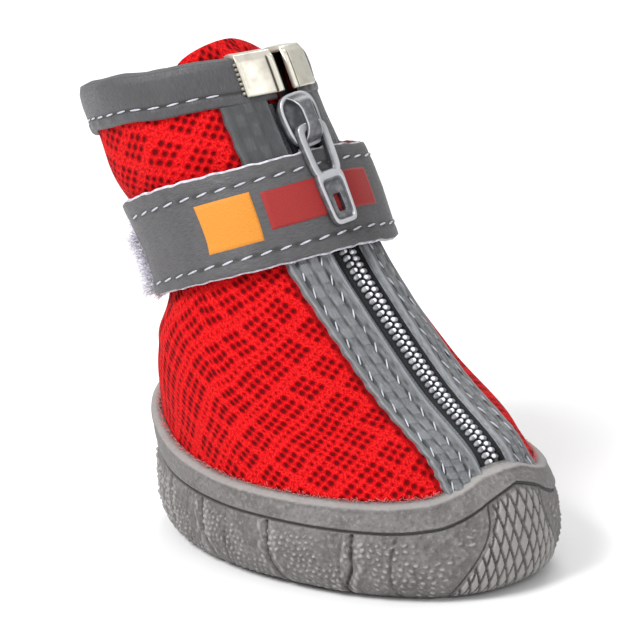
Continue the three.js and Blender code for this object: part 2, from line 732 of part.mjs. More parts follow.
// ---- assembly ----
const RED = 0xd8161c;
const GREY = 0x74777b;
const RUBBER = 0x807c78;
const METAL = 0xcfc9bd;

add("upper", upperGeometry(), RED, 0.9);
add("sole", soleGeometry(), RUBBER, 0.85);
add("insole", insoleGeometry(), 0x3a3a3c, 0.95);
add("tongue", tongueGeometry(), RED, 0.9);
add("zip_chain", zipChainGeometry(), 0xb9bcc0, 0.6);
add("facing_left", facingGeometry(1), GREY, 0.6);
add("facing_right", facingGeometry(-1), GREY, 0.6);
add("collar_binding", bindingGeometry(), GREY, 0.6);
add("clip_left", clipGeometry(1), METAL, 0.3, 1);
add("clip_right", clipGeometry(-1), METAL, 0.3, 1);
add("strap", strapGeometry(), GREY, 0.6);
add("loop_patch", patchGeometry(), 0x9a97a6, 1);
add("zip_slider", sliderGeometry(), 0x8f9194, 0.5);
add("zip_pull", pullGeometry(), 0x9b9da0, 0.5);

export default boot;
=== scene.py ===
"""The looks of the dog boot: red air mesh, grey reflective tape, a coil zip, metal clips and a rubber sole.

Shapes are worked out in millimetres on the same surfaces as the frame's solids, and become metres in one
place. Round the boot, the angle u is 0 at the front and grows towards the left side; v climbs from the insole
(0) to the collar (1).
"""
import json
import math

import bmesh
import bpy
import numpy as np
from mathutils import Matrix, Vector

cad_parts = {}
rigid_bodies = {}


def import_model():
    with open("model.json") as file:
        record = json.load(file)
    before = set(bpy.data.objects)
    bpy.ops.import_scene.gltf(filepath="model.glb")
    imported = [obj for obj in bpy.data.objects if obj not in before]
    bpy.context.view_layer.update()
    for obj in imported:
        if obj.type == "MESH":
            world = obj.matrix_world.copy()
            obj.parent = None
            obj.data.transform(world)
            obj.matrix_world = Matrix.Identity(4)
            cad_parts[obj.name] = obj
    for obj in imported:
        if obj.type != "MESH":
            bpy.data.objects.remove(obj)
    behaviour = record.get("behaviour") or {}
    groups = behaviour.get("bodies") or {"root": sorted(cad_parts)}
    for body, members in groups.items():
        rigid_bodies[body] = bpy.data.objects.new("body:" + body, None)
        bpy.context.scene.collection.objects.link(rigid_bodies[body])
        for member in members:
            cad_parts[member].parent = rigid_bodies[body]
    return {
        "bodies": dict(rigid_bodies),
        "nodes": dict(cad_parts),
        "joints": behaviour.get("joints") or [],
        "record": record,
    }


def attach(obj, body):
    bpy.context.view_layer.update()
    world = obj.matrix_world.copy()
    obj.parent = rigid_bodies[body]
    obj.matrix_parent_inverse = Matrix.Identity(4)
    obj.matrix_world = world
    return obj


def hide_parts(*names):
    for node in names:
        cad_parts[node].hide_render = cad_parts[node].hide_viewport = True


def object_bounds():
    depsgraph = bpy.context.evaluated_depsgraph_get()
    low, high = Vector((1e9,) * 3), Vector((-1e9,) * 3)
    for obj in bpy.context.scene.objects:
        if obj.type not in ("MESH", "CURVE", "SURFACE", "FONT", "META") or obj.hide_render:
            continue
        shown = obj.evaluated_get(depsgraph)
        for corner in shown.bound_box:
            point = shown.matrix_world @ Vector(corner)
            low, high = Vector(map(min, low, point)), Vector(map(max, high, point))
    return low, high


MM = 0.001

# ---- sizes shared with the solids, in millimetres ----
SOLE_LENGTH = 75
SOLE_WIDTH = 54
SOLE_WIDEST = 0.49
SOLE_TOE_ROUND = 2.25
SOLE_HEEL_ROUND = 1.75
TOE_SPRING_FROM = 21
TOE_SPRING_TO = 34
TOE_SPRING = 0.9
HEEL_SPRING_FROM = -29
HEEL_SPRING_TO = -35
HEEL_SPRING = 0.8
GAP = 0.3
RAND_WALL = 1.1
LUG_DEPTH = 2
UPPER_WALL = 2
ZIP_SLOT = 6.8
ZIP_FROM = 0.222
ZIP_TO = 0.922
ZIP_TWIST = math.radians(-9)  # how far round the zip has wandered at the collar
TAPE_WIDTH = 15
TAPE_TOP = 2.45  # depth of the zip tape's solid under the upper's outer face
FACING_THICK = 0.7
FACING_TOP = 0.918
FACING_WIDTH = 7.7
FACING_FLARE = 0.3
BINDING_DROP = 7.7
BINDING_THICK = 0.8
CLIP_GAP = 1.9
CLIP_THICK = 0.6
STRAP_LIFT = 1.3
STRAP_THICK = 1.2
STRAP_LOW = 0.672
STRAP_HIGH = 0.838
STRAP_FROM = math.radians(-127)
STRAP_BULGE = 2.3  # more lift, and a dip in v, where it bridges the hollow beside the zip
STRAP_DIP = 0.011
STRAP_TO = math.radians(176)
PATCH_FROM = math.radians(-180)
PATCH_TO = math.radians(-108)
SECTION_MIDDLE = 0.52  # the widest place of a ring, as a share of the way from its back to its front

# v, front x and z, back x and z, half width, roundness of the front and of the back, lift of the right and
# of the left side
UPPER_SECTIONS = np.array(
    [
        [0.0, 32.0, 6.0, -34.4, 6.0, 24.0, 2.1, 1.8, 0, 0],
        [0.12, 32.4, 15.0, -35.4, 15.0, 25.1, 2.05, 1.83, 0, 0],
        [0.24, 29.9, 20.5, -35.8, 21.0, 25.1, 1.82, 1.88, 0, 0],
        [0.42, 17.6, 30.3, -35.4, 27.8, 23.6, 1.66, 1.94, 0, 0],
        [0.58, 5.9, 41.8, -34.4, 33.2, 20.6, 1.62, 2.0, 0.3, 0.3],
        [0.67, -0.9, 49.9, -33.6, 37.3, 17.9, 1.68, 2.0, 0.7, 0.7],
        [0.75, -4.5, 57.0, -35.9, 42.8, 16.6, 1.78, 2.0, 0.9, 0.7],
        [0.83, -7.8, 64.0, -41.4, 49.3, 16.6, 1.72, 2.0, 1.2, 0.3],
        [0.9, -11.4, 70.5, -47.9, 56.9, 17.4, 1.62, 2.0, 1.8, -0.6],
        [1.0, -16.2, 79.9, -52.6, 67.9, 18.0, 1.58, 2.0, 1.9, -1.9],
    ]
)
# angle from the toe in degrees, height of the groove under the rand, v of the rand's top, inset of the tread
# and of the groove
SOLE_ROUND = np.array(
    [
        [0, 17.6, 0.222, 2.4, 2.4],
        [10, 15.9, 0.214, 2.6, 2.3],
        [20, 13.7, 0.176, 3.3, 2.2],
        [32, 12.1, 0.143, 4.3, 1.9],
        [50, 11.6, 0.133, 5.4, 1.1],
        [90, 11.6, 0.135, 5.8, 0.4],
        [120, 12.0, 0.155, 4.6, 0.2],
        [140, 13.2, 0.2, 3.8, 0.2],
        [160, 14.6, 0.255, 3.6, 0.5],
        [180, 15.0, 0.28, 3.6, 0.7],
    ]
)
# share of the way up the sole's side, and the share of the tread's inset that is left there
SIDE_RISE = np.array([0, 0.13, 0.38, 0.7, 0.96, 1.0])
SIDE_INSET = np.array([1, 0.55, 0.2, 0.03, 0, 0])
# x and half the width of the fish-shaped middle of the tread
CENTRE_HALF = np.array(
    [
        [-27, 3.5],
        [-20.5, 5.2],
        [-14.5, 5.6],
        [-8.7, 7.6],
        [-2.8, 11.2],
        [3.1, 14.1],
        [10.1, 15.3],
        [16, 14.4],
        [20.7, 10.6],
        [24.8, 7.6],
        [31.3, 8.8],
    ]
)


# ---- curves and surfaces ----
def smooth_curve(knots, values):
    """A smooth curve through its knots that never overshoots them, straight past both ends."""
    slope = np.diff(values) / np.diff(knots)
    tangent = np.zeros(len(knots))
    tangent[0] = slope[0]
    tangent[-1] = slope[-1]
    for i in range(1, len(slope)):
        if slope[i - 1] * slope[i] > 0:
            tangent[i] = 2 * slope[i - 1] * slope[i] / (slope[i - 1] + slope[i])

    def curve(x):
        inside = np.clip(x, knots[0], knots[-1])
        i = np.clip(np.searchsorted(knots, inside, side="right") - 1, 0, len(knots) - 2)
        width = knots[i + 1] - knots[i]
        t = (inside - knots[i]) / width
        value = values[i] + (values[i + 1] - values[i]) * t * t * (3 - 2 * t)
        value = value + t * (1 - t) ** 2 * width * tangent[i]
        value = value - t * t * (1 - t) * width * tangent[i + 1]
        before = np.minimum(x - knots[0], 0) * tangent[0]
        after = np.maximum(x - knots[-1], 0) * tangent[-1]
        return value + before + after

    return curve


SECTION = [smooth_curve(UPPER_SECTIONS[:, 0], column) for column in UPPER_SECTIONS.T[1:]]
SOLE_AT = [smooth_curve(SOLE_ROUND[:, 0], column) for column in SOLE_ROUND.T[1:]]
CENTRE = smooth_curve(CENTRE_HALF[:, 0], CENTRE_HALF[:, 1])
INSET_SHARE = smooth_curve(SIDE_RISE, SIDE_INSET)


def smoothstep(x, low, high):
    t = np.clip((x - low) / (high - low), 0, 1)
    return t * t * (3 - 2 * t)


def hill(x, middle, reach):
    """A soft hill of height 1, down to nothing at about twice its reach."""
    return np.exp(-(((x - middle) / reach) ** 2))


def signed_power(value, power):
    return np.sign(value) * np.abs(value) ** power


def upper_point(v, u, offset=0.0):
    """A point on the upper's outer face, moved out by offset."""
    v, u, offset = np.broadcast_arrays(np.asarray(v, float), u, offset)
    row = [curve(v) for curve in SECTION]
    front_x, front_z, back_x, back_z, half, front_round, back_round, right_lift, left_lift = row
    run_x = front_x - back_x
    run_z = front_z - back_z
    length = np.hypot(run_x, run_z)
    front = np.cos(u) > 0
    power = 2 / np.where(front, front_round, back_round)
    side_lift = np.where(np.sin(u) > 0, left_lift, right_lift)
    reach = length * np.where(front, 1 - SECTION_MIDDLE, SECTION_MIDDLE) + offset
    along = SECTION_MIDDLE * length + reach * signed_power(np.cos(u), power)
    x = back_x + run_x / length * along
    y = (half + offset) * signed_power(np.sin(u), power)
    z = back_z + run_z / length * along + side_lift * np.sin(u) ** 2
    return np.stack([x, y, z], axis=-1)


def unit(vectors):
    return vectors / np.linalg.norm(vectors, axis=-1, keepdims=True)


def upper_frame(v, u):
    """Unit directions on the upper: to the left along the ring, up the boot, and out."""
    left = unit(upper_point(v, u + 0.02) - upper_point(v, u - 0.02))
    up = unit(upper_point(v + 0.01, u) - upper_point(v - 0.01, u))
    out = unit(np.cross(left, up))
    return left, np.cross(out, left), out


def zip_line(v):
    return ZIP_TWIST * smoothstep(np.asarray(v, float), 0.45, 1)


def angle_across(v, distance):
    """The angle at which a ring has run a distance from the zip's line, to the left when it is positive."""
    v, distance = np.broadcast_arrays(np.asarray(v, float), distance)
    step = math.radians(1) * np.sign(distance)
    rest = np.abs(distance)
    u = zip_line(v)
    here = upper_point(v, u)
    while rest.max() > 1e-6:
        after = upper_point(v, u + step)
        length = np.linalg.norm(after - here, axis=-1)
        share = np.clip(rest / np.maximum(length, 1e-9), 0, 1)
        u = u + step * share
        rest = rest - length * share
        here = upper_point(v, u)
    return u


def below(u, distance):
    """The v that lies a distance below the collar's edge, down the upper at angle u."""
    levels = np.linspace(1, 0.6, 81)
    u, distance = np.broadcast_arrays(u, distance)
    points = upper_point(levels[:, None], u[None, :])
    steps = np.linalg.norm(np.diff(points, axis=0), axis=-1)
    run = np.vstack([np.zeros(len(u)), np.cumsum(steps, axis=0)])
    return np.array([np.interp(d, run[:, i], levels) for i, d in enumerate(distance)])


# Lengths along the upper's rings and up the boot, for cloth that follows the surface.
RUN_V = np.linspace(0, 1.1, 111)
RUN_U = np.linspace(-math.pi, math.pi, 361)


def cloth_tables():
    points = upper_point(RUN_V[:, None], RUN_U[None, :])
    across = np.cumsum(np.linalg.norm(np.diff(points, axis=1), axis=-1), axis=1)
    across = np.hstack([np.zeros((len(RUN_V), 1)), across])
    up = np.cumsum(np.linalg.norm(np.diff(points, axis=0), axis=-1), axis=0)
    up = np.vstack([np.zeros(len(RUN_U)), up])
    right_side = len(RUN_U) // 4
    return across - across[:, right_side : right_side + 1], up


CLOTH_RUN, CLOTH_RISE = cloth_tables()


def cloth(v, u):
    """Flat coordinates of the cloth on the upper, in millimetres."""
    i = np.clip(v / RUN_V[1], 0, len(RUN_V) - 1.001)
    j = np.clip((u + math.pi) / (RUN_U[1] - RUN_U[0]), 0, len(RUN_U) - 1.001)
    row = i.astype(int)
    column = j.astype(int)
    a = (i - row)[..., None]
    b = (j - column)[..., None]
    both = np.stack([CLOTH_RUN, CLOTH_RISE], axis=-1)
    low = both[row, column] * (1 - b) + both[row, column + 1] * b
    high = both[row + 1, column] * (1 - b) + both[row + 1, column + 1] * b
    return low * (1 - a) + high * a


def outline(u, inset):
    """The sole's outline from above, drawn in by an inset."""
    c = np.cos(u)
    widest_x = SOLE_LENGTH / 2 - SOLE_LENGTH * SOLE_WIDEST
    reach = SOLE_LENGTH * np.where(c > 0, SOLE_WIDEST, 1 - SOLE_WIDEST) - inset
    power = 2 / np.where(c > 0, SOLE_TOE_ROUND, SOLE_HEEL_ROUND)
    side = SOLE_WIDTH / 2 - inset
    return widest_x + reach * signed_power(c, power), side * signed_power(np.sin(u), power)


def sole_at(u):
    """Height of the groove under the rand, v of the rand's top, inset of the tread and of the groove."""
    return [curve(np.abs(np.degrees(u))) for curve in SOLE_AT]


def spring_height(x):
    toe = np.maximum(0, (x - TOE_SPRING_FROM) / (TOE_SPRING_TO - TOE_SPRING_FROM)) ** 2 * TOE_SPRING
    heel = np.clip((HEEL_SPRING_FROM - x) / (HEEL_SPRING_FROM - HEEL_SPRING_TO), 0, 1) * HEEL_SPRING
    return toe + heel


def rand_top(u):
    return sole_at(u)[1]


def wrapped(u):
    """The same angle between minus half a turn and half a turn."""
    return np.where(u > math.pi, u - 2 * math.pi, u)


# ---- making pieces ----
def finish_piece(mesh, name, finish, nodes, body="boot"):
    """Puts a mesh in the scene with its finish and its place in the frame, and hides the solids it stands
    for.
    """
    mesh.materials.append(finish)
    mesh.polygons.foreach_set("use_smooth", [True] * len(mesh.polygons))
    piece = bpy.data.objects.new(name, mesh)
    bpy.context.scene.collection.objects.link(piece)
    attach(piece, body)
    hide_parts(*nodes)
    return piece


def mesh_from(work, name):
    """Turns the work into a mesh and lets it go."""
    mesh = bpy.data.meshes.new(name)
    work.to_mesh(mesh)
    work.free()
    return mesh


def close_up(mesh, holes):
    """Joins a band's seam or fills its open ends, and turns its faces outwards."""
    work = bmesh.new()
    work.from_mesh(mesh)
    if holes:
        open_edges = [edge for edge in work.edges if edge.is_boundary]
        bmesh.ops.holes_fill(work, edges=open_edges, sides=0)
    else:
        bmesh.ops.remove_doubles(work, verts=work.verts, dist=0.002 * MM)
    bmesh.ops.recalc_face_normals(work, faces=work.faces)
    work.to_mesh(mesh)
    work.free()


def keep_relief(mesh, values):
    """Keeps how far each point stands out, for the finish to paint shade into troughs and highlights onto
    ridges, or to mark parts of another colour.
    """
    kept = mesh.attributes.new("Relief", "FLOAT", "POINT")
    kept.data.foreach_set("value", np.asarray(values, np.float32))


def sheet_mesh(name, columns, rows, place, flat, closed=False, relief=None):
    """A fine sheet of quads: place(s, t) is its shape, flat(s, t) its cloth coordinates, both in millimetres.

    relief(s, t), where it is given, is kept on the mesh so that the finish can paint shade into its troughs
    and highlights onto its ridges.
    """
    work = bmesh.new()
    bmesh.ops.create_grid(work, x_segments=columns, y_segments=rows, size=1)
    work.loops.layers.uv.new("Cloth")
    mesh = mesh_from(work, name)
    start = np.empty(len(mesh.vertices) * 3)
    mesh.vertices.foreach_get("co", start)
    s, t = (start.reshape(-1, 3)[:, :2].T + 1) / 2
    s = np.round(s * columns) / columns
    t = np.round(t * rows) / rows
    mesh.vertices.foreach_set("co", (place(s, t) * MM).ravel())
    corner = np.empty(len(mesh.loops), np.int32)
    mesh.loops.foreach_get("vertex_index", corner)
    mesh.uv_layers["Cloth"].data.foreach_set("uv", flat(s, t)[corner].ravel())
    if relief is not None:
        keep_relief(mesh, relief(s, t))
    if closed:
        close_up(mesh, holes=False)
    return mesh


def between(a, b, t):
    return a + (b - a) * t


def run_along(points):
    """How far along a line of points each one lies."""
    return np.concatenate([[0], np.cumsum(np.linalg.norm(np.diff(points, axis=0), axis=1))])


# ---- finishes ----
class Finish:
    """A material with short calls for its nodes."""

    def __init__(self, name, roughness, metallic=0.0):
        self.material = bpy.data.materials.new(name)
        self.material.use_nodes = True
        self.tree = self.material.node_tree
        self.shader = self.tree.nodes["Principled BSDF"]
        self.shader.inputs["Roughness"].default_value = roughness
        self.shader.inputs["Metallic"].default_value = metallic
        self.place = self.tree.nodes.new("ShaderNodeTexCoord").outputs["Object"]

    def set(self, node, values):
        for key, value in values.items():
            if isinstance(value, bpy.types.NodeSocket):
                self.tree.links.new(value, node.inputs[key])
            else:
                node.inputs[key].default_value = value
        return node

    def cloth(self, across, along):
        """The piece's cloth coordinates, scaled."""
        flat = self.tree.nodes.new("ShaderNodeUVMap")
        flat.uv_map = "Cloth"
        mapping = self.tree.nodes.new("ShaderNodeMapping")
        self.set(mapping, {"Vector": flat.outputs[0], "Scale": (across, along, 1)})
        return mapping.outputs[0]

    def relief(self, low, high):
        """From 0 to 1 as the piece's kept relief goes from low to high."""
        kept = self.tree.nodes.new("ShaderNodeAttribute")
        kept.attribute_name = "Relief"
        return self.ramp(kept.outputs["Fac"], low, high)

    def maths(self, operation, a, b=0.0, c=0.0):
        node = self.tree.nodes.new("ShaderNodeMath")
        node.operation = operation
        return self.set(node, {0: a, 1: b, 2: c}).outputs[0]

    def noise(self, vector, scale, detail=2.0):
        node = self.tree.nodes.new("ShaderNodeTexNoise")
        return self.set(node, {"Vector": vector, "Scale": scale, "Detail": detail}).outputs["Fac"]

    def ramp(self, value, low, high, to_low=0.0, to_high=1.0):
        node = self.tree.nodes.new("ShaderNodeMapRange")
        node.interpolation_type = "SMOOTHSTEP"
        return self.set(node, {0: value, 1: low, 2: high, 3: to_low, 4: to_high}).outputs[0]

    def mix(self, share, a, b):
        node = self.tree.nodes.new("ShaderNodeMix")
        node.data_type = "RGBA"
        return self.set(node, {0: share, 6: a, 7: b}).outputs[2]

    def bump(self, height, depth, normal=None, strength=1.0):
        node = self.tree.nodes.new("ShaderNodeBump")
        values = {"Height": height, "Distance": depth * MM, "Strength": strength}
        if normal is not None:
            values["Normal"] = normal
        return self.set(node, values).outputs[0]

    def end(self, **values):
        named = {key.replace("_", " "): value for key, value in values.items()}
        self.set(self.shader, named)
        return self.material


def rgb(red, green, blue):
    """A colour given in screen values from 0 to 255."""

    def linear(value):
        value = value / 255
        return value / 12.92 if value <= 0.04045 else ((value + 0.055) / 1.055) ** 2.4

    return (linear(red), linear(green), linear(blue), 1)


HOLE_DOWN = (1.26, -0.73)  # step from one hole to the next towards the toe, along and up the cloth, in mm
HOLE_BACK = (-0.93, -1.05)  # and towards the heel
HOLE_RADIUS = 0.35


def mesh_cloth():
    """Red air mesh: diamonds of nine holes with knitted ribs between them, painted shade in and round the
    holes and in the seams and creases, and painted highlights on the knit.
    """
    made = Finish("air mesh", 0.8)
    flat = made.cloth(1, 1)
    wander = made.tree.nodes.new("ShaderNodeTexNoise")
    made.set(wander, {"Vector": flat, "Scale": 0.16, "Detail": 1.0})
    shift = made.tree.nodes.new("ShaderNodeVectorMath")
    shift.operation = "MULTIPLY_ADD"
    made.set(shift, {0: wander.outputs["Color"], 1: (1.0, 1.0, 0), 2: flat})
    parts = made.tree.nodes.new("ShaderNodeSeparateXYZ")
    made.set(parts, {0: shift.outputs[0]})
    along, up = parts.outputs[0], parts.outputs[1]
    area = HOLE_DOWN[0] * HOLE_BACK[1] - HOLE_DOWN[1] * HOLE_BACK[0]
    up_p = made.maths("MULTIPLY", up, -HOLE_BACK[0] / area)
    up_q = made.maths("MULTIPLY", up, HOLE_DOWN[0] / area)
    p = made.maths("MULTIPLY_ADD", along, HOLE_BACK[1] / area, up_p)
    q = made.maths("MULTIPLY_ADD", along, -HOLE_DOWN[1] / area, up_q)
    cell_p = made.maths("FLOOR", p)
    cell_q = made.maths("FLOOR", q)
    from_p = made.maths("SUBTRACT", made.maths("SUBTRACT", p, cell_p), 0.5)
    from_q = made.maths("SUBTRACT", made.maths("SUBTRACT", q, cell_q), 0.5)
    dx = made.maths("MULTIPLY_ADD", from_p, HOLE_DOWN[0], made.maths("MULTIPLY", from_q, HOLE_BACK[0]))
    dy = made.maths("MULTIPLY_ADD", from_p, HOLE_DOWN[1], made.maths("MULTIPLY", from_q, HOLE_BACK[1]))
    away = made.maths("SQRT", made.maths("MULTIPLY_ADD", dx, dx, made.maths("MULTIPLY", dy, dy)))
    rib_p = made.maths("GREATER_THAN", made.maths("FLOORED_MODULO", cell_p, 4.0), 2.5)
    rib_q = made.maths("GREATER_THAN", made.maths("FLOORED_MODULO", cell_q, 4.0), 2.5)
    rib = made.maths("MAXIMUM", rib_p, rib_q)
    cell = made.tree.nodes.new("ShaderNodeCombineXYZ")
    made.set(cell, {0: cell_p, 1: cell_q})
    chance = made.tree.nodes.new("ShaderNodeTexWhiteNoise")
    made.set(chance, {"Vector": cell.outputs[0]})
    size = made.maths("MULTIPLY_ADD", chance.outputs["Value"], 0.1, HOLE_RADIUS - 0.05)
    closing = made.ramp(made.noise(made.cloth(0.07, 0.07), 1.0, 1.0), 0.35, 0.65, -0.2, -0.5)
    size = made.maths("MULTIPLY_ADD", rib, closing, size)
    edge = made.maths("SUBTRACT", away, size)
    cloth_share = made.ramp(edge, -0.12, 0.06)
    swell = made.ramp(edge, -0.3, 0.4)
    yarn = made.noise(made.cloth(3.4, 2.4), 1.0, 3.0)
    broad = made.noise(made.cloth(0.12, 0.12), 1.0, 2.0)
    body = made.mix(made.ramp(yarn, 0.34, 0.68), rgb(158, 3, 9), rgb(208, 8, 15))
    body = made.mix(made.ramp(broad, 0.3, 0.7, 0.0, 0.5), body, rgb(178, 3, 10))
    # Painted highlight: paler red spots on the knit midway between the holes.
    knot_highlight = made.maths("MULTIPLY", made.ramp(edge, 0.22, 0.5), made.ramp(yarn, 0.42, 0.62, 0.1, 0.8))
    body = made.mix(knot_highlight, body, rgb(226, 34, 34))
    # Painted shade: a darker ring round each hole, darker red in the seams and creases that the kept relief
    # marks, and dark red in the holes for the shade seen through them.
    shaded = made.mix(made.ramp(edge, -0.05, 0.16), rgb(132, 2, 7), body)
    shaded = made.mix(made.relief(-0.45, -0.1), rgb(122, 2, 7), shaded)
    colour = made.mix(cloth_share, rgb(96, 3, 9), shaded)
    normal = made.bump(swell, 0.4)
    normal = made.bump(yarn, 0.16, normal)
    return made.end(Base_Color=colour, Normal=normal, Specular_IOR_Level=0.08)


def tape_cloth(name, dark, light, fibre=(9.0, 0.7)):
    """Grey reflective tape: fine fibres, a soft glint, slight rubbing, painted shade in the seams and a
    painted highlight on raised rims.
    """
    made = Finish(name, 0.5, 0.12)
    fibres = made.noise(made.cloth(*fibre), 1.0, 4.0)
    grain = made.noise(made.place, 2600, 2.0)
    patchy = made.noise(made.place, 210, 3.0)
    colour = made.mix(made.ramp(fibres, 0.32, 0.68), dark, light)
    colour = made.mix(made.ramp(patchy, 0.45, 0.75, 0.0, 0.5), colour, light)
    trough_shade = tuple(0.42 * value for value in dark[:3]) + (1,)
    highlight = tuple(min(1, 1.5 * value) for value in light[:3]) + (1,)
    # Painted shade: darker where the kept relief marks troughs.
    colour = made.mix(made.relief(-0.2, 0.02), trough_shade, colour)
    # Painted highlight: paler where the kept relief marks raised rims.
    colour = made.mix(made.maths("MULTIPLY", made.relief(0.12, 0.4), 0.55), colour, highlight)
    rough = made.ramp(grain, 0.3, 0.7, 0.42, 0.6)
    normal = made.bump(fibres, 0.1)
    normal = made.bump(grain, 0.05, normal)
    return made.end(Base_Color=colour, Roughness=rough, Normal=normal, Sheen_Weight=0.08, Sheen_Roughness=0.5)


def thread(name, colour):
    made = Finish(name, 0.55)
    strand = made.noise(made.place, 1800, 2.0)
    shade = made.mix(made.ramp(strand, 0.3, 0.7, 0.0, 0.4), colour, rgb(120, 118, 128))
    return made.end(Base_Color=shade, Normal=made.bump(strand, 0.06), Sheen_Weight=0.2)


def coil_plastic():
    made = Finish("coil plastic", 0.32)
    cloudy = made.noise(made.place, 900, 2.0)
    colour = made.mix(made.ramp(cloudy, 0.35, 0.65), rgb(112, 114, 119), rgb(156, 158, 163))
    # Painted highlight: the coil's crowns, marked by their relief, are painted near white.
    colour = made.mix(made.relief(0.1, 0.4), colour, rgb(236, 237, 241))
    return made.end(Base_Color=colour, Normal=made.bump(cloudy, 0.04), Specular_IOR_Level=0.6)


def dark_weave():
    """The zip's black tape, paler where its woven cords run beside the coil."""
    made = Finish("zip tape", 0.75)
    weave = made.noise(made.cloth(6.0, 6.0), 1.0, 1.0)
    colour = made.mix(made.ramp(weave, 0.35, 0.65), rgb(14, 14, 16), rgb(34, 35, 38))
    cord = made.mix(made.ramp(weave, 0.35, 0.65), rgb(84, 87, 92), rgb(140, 144, 150))
    colour = made.mix(made.relief(0.15, 0.4), colour, cord)
    return made.end(Base_Color=colour, Normal=made.bump(weave, 0.12))


def clip_metal():
    made = Finish("nickel clip", 0.38, 0.5)
    scratches = made.noise(made.place, 500, 4.0)
    colour = made.mix(made.ramp(scratches, 0.4, 0.75), rgb(208, 204, 191), rgb(190, 185, 172))
    # Painted shade: darker in the groove behind the rolled edge and on the teeth, as the kept relief marks
    # them.
    colour = made.mix(made.relief(-0.12, 0.0), rgb(66, 62, 56), colour)
    rough = made.ramp(scratches, 0.3, 0.75, 0.28, 0.42)
    return made.end(Base_Color=colour, Roughness=rough, Normal=made.bump(scratches, 0.012))


def slider_enamel():
    """Grey enamel: paler on its rims, partly rubbed wear and partly a painted highlight, and painted shade in
    its hollows.
    """
    made = Finish("slider enamel", 0.34, 0.3)
    worn = made.noise(made.place, 900, 4.0)
    colour = made.mix(made.ramp(worn, 0.4, 0.7), rgb(92, 93, 97), rgb(120, 121, 125))
    # Painted shade in the hollows that the kept relief marks.
    colour = made.mix(made.relief(-0.2, 0.05), rgb(58, 59, 62), colour)
    # Paler on the raised rims: partly rubbed wear, partly painted highlight.
    colour = made.mix(made.relief(0.2, 0.42), colour, rgb(176, 177, 180))
    rough = made.ramp(worn, 0.3, 0.7, 0.28, 0.46)
    return made.end(Base_Color=colour, Roughness=rough, Normal=made.bump(worn, 0.035))


def moulded_rubber():
    """Warm grey rubber, matt, with mould grain, knobs paler partly from rubbing and partly from painted
    highlight, and painted shade in the grooves.
    """
    made = Finish("rubber", 0.62)
    grain = made.noise(made.place, 1500, 4.0)
    speck = made.noise(made.place, 1500, 2.0)
    streak = made.noise(made.place, 260, 4.0)
    dust = made.noise(made.place, 70, 3.0)
    colour = made.mix(made.ramp(streak, 0.3, 0.7), rgb(90, 87, 86), rgb(111, 108, 107))
    colour = made.mix(made.ramp(speck, 0.54, 0.68, 0.0, 0.45), colour, rgb(138, 135, 134))
    colour = made.mix(made.ramp(speck, 0.46, 0.3, 0.0, 0.5), colour, rgb(72, 70, 69))
    colour = made.mix(made.ramp(dust, 0.5, 0.8, 0.0, 0.2), colour, rgb(118, 115, 113))
    # Painted shade in the grooves.
    colour = made.mix(made.relief(-0.6, 0.02), rgb(60, 58, 57), colour)
    # Paler on raised knobs and on the rand's bead: painted highlight, partly rubbed wear.
    colour = made.mix(made.maths("MULTIPLY", made.relief(0.1, 0.34), 0.65), colour, rgb(160, 157, 155))
    rough = made.ramp(streak, 0.3, 0.7, 0.5, 0.7)
    normal = made.bump(grain, 0.08)
    normal = made.bump(speck, 0.12, normal)
    normal = made.bump(streak, 0.12, normal)
    return made.end(Base_Color=colour, Roughness=rough, Normal=normal, Specular_IOR_Level=0.4)


def woven_label(name, colour, shade):
    made = Finish(name, 0.6)
    weave = made.noise(made.cloth(7.0, 3.0), 1.0, 2.0)
    mixed = made.mix(made.ramp(weave, 0.3, 0.7), shade, colour)
    return made.end(Base_Color=mixed, Normal=made.bump(weave, 0.06), Sheen_Weight=0.1)


def fleece(name, dark, light):
    made = Finish(name, 0.9)
    fluff = made.noise(made.place, 1100, 4.0)
    colour = made.mix(made.ramp(fluff, 0.3, 0.7), dark, light)
    return made.end(Base_Color=colour, Normal=made.bump(fluff, 0.35), Sheen_Weight=0.5, Sheen_Roughness=0.5)


# ---- upper ----
UPPER_LOW = 0.1  # v of its lower edge inside the sole, and of its upper edge inside the binding
UPPER_TOP = 0.985


def upper_creases(v, u):
    """How far the mesh stands off its plain form: soft folds, laid one by one."""
    back = smoothstep(np.abs(u), 1.2, 2.4)
    lift = 0.5 * hill(v, 0.56, 0.05) * back
    lift = lift - 0.5 * hill(v, 0.755, 0.08)
    lift = lift + 0.35 * hill(v, 0.87, 0.03)
    fold = u + 1.15 - 2.6 * (v - 0.62)
    lift = lift - 0.35 * hill(fold, 0, 0.12) * hill(v, 0.6, 0.07)
    lift = lift + 0.3 * hill(fold, 0.22, 0.12) * hill(v, 0.58, 0.07)
    fold = u - 1.2 + 2.2 * (v - 0.6)
    lift = lift - 0.4 * hill(fold, 0, 0.14) * hill(v, 0.6, 0.08)
    fold = u + 1.9 - 1.2 * (v - 0.86)
    lift = lift - 0.4 * hill(fold, 0, 0.16) * hill(v, 0.86, 0.05)
    lift = lift + 0.5 * hill(v, 0.85, 0.04) * hill(u, -2.3, 0.6)
    wave = np.sin(u * 5 + 3 * v) * np.sin(v * 17 + 1)
    return lift + 0.12 * wave


def seam_shade(v, u):
    """Below 0 where the mesh dips into the seams beside the facings and at the rand: painted shade only, it
    does not move the mesh.
    """
    seam = ZIP_SLOT / 2 + FACING_WIDTH + 0.4
    left = hill(u - angle_across(v, seam), 0, 0.03)
    right = hill(u - angle_across(v, -seam), 0, 0.03)
    rand = (v - rand_top(u)) * 90
    return -0.4 * np.maximum(np.maximum(left, right), hill(rand, 0.6, 0.9))


SHAFT_RADIUS = 17.5  # about the middle of the shaft
SHAFT_MIDDLE = 62  # and how far up the cloth it is


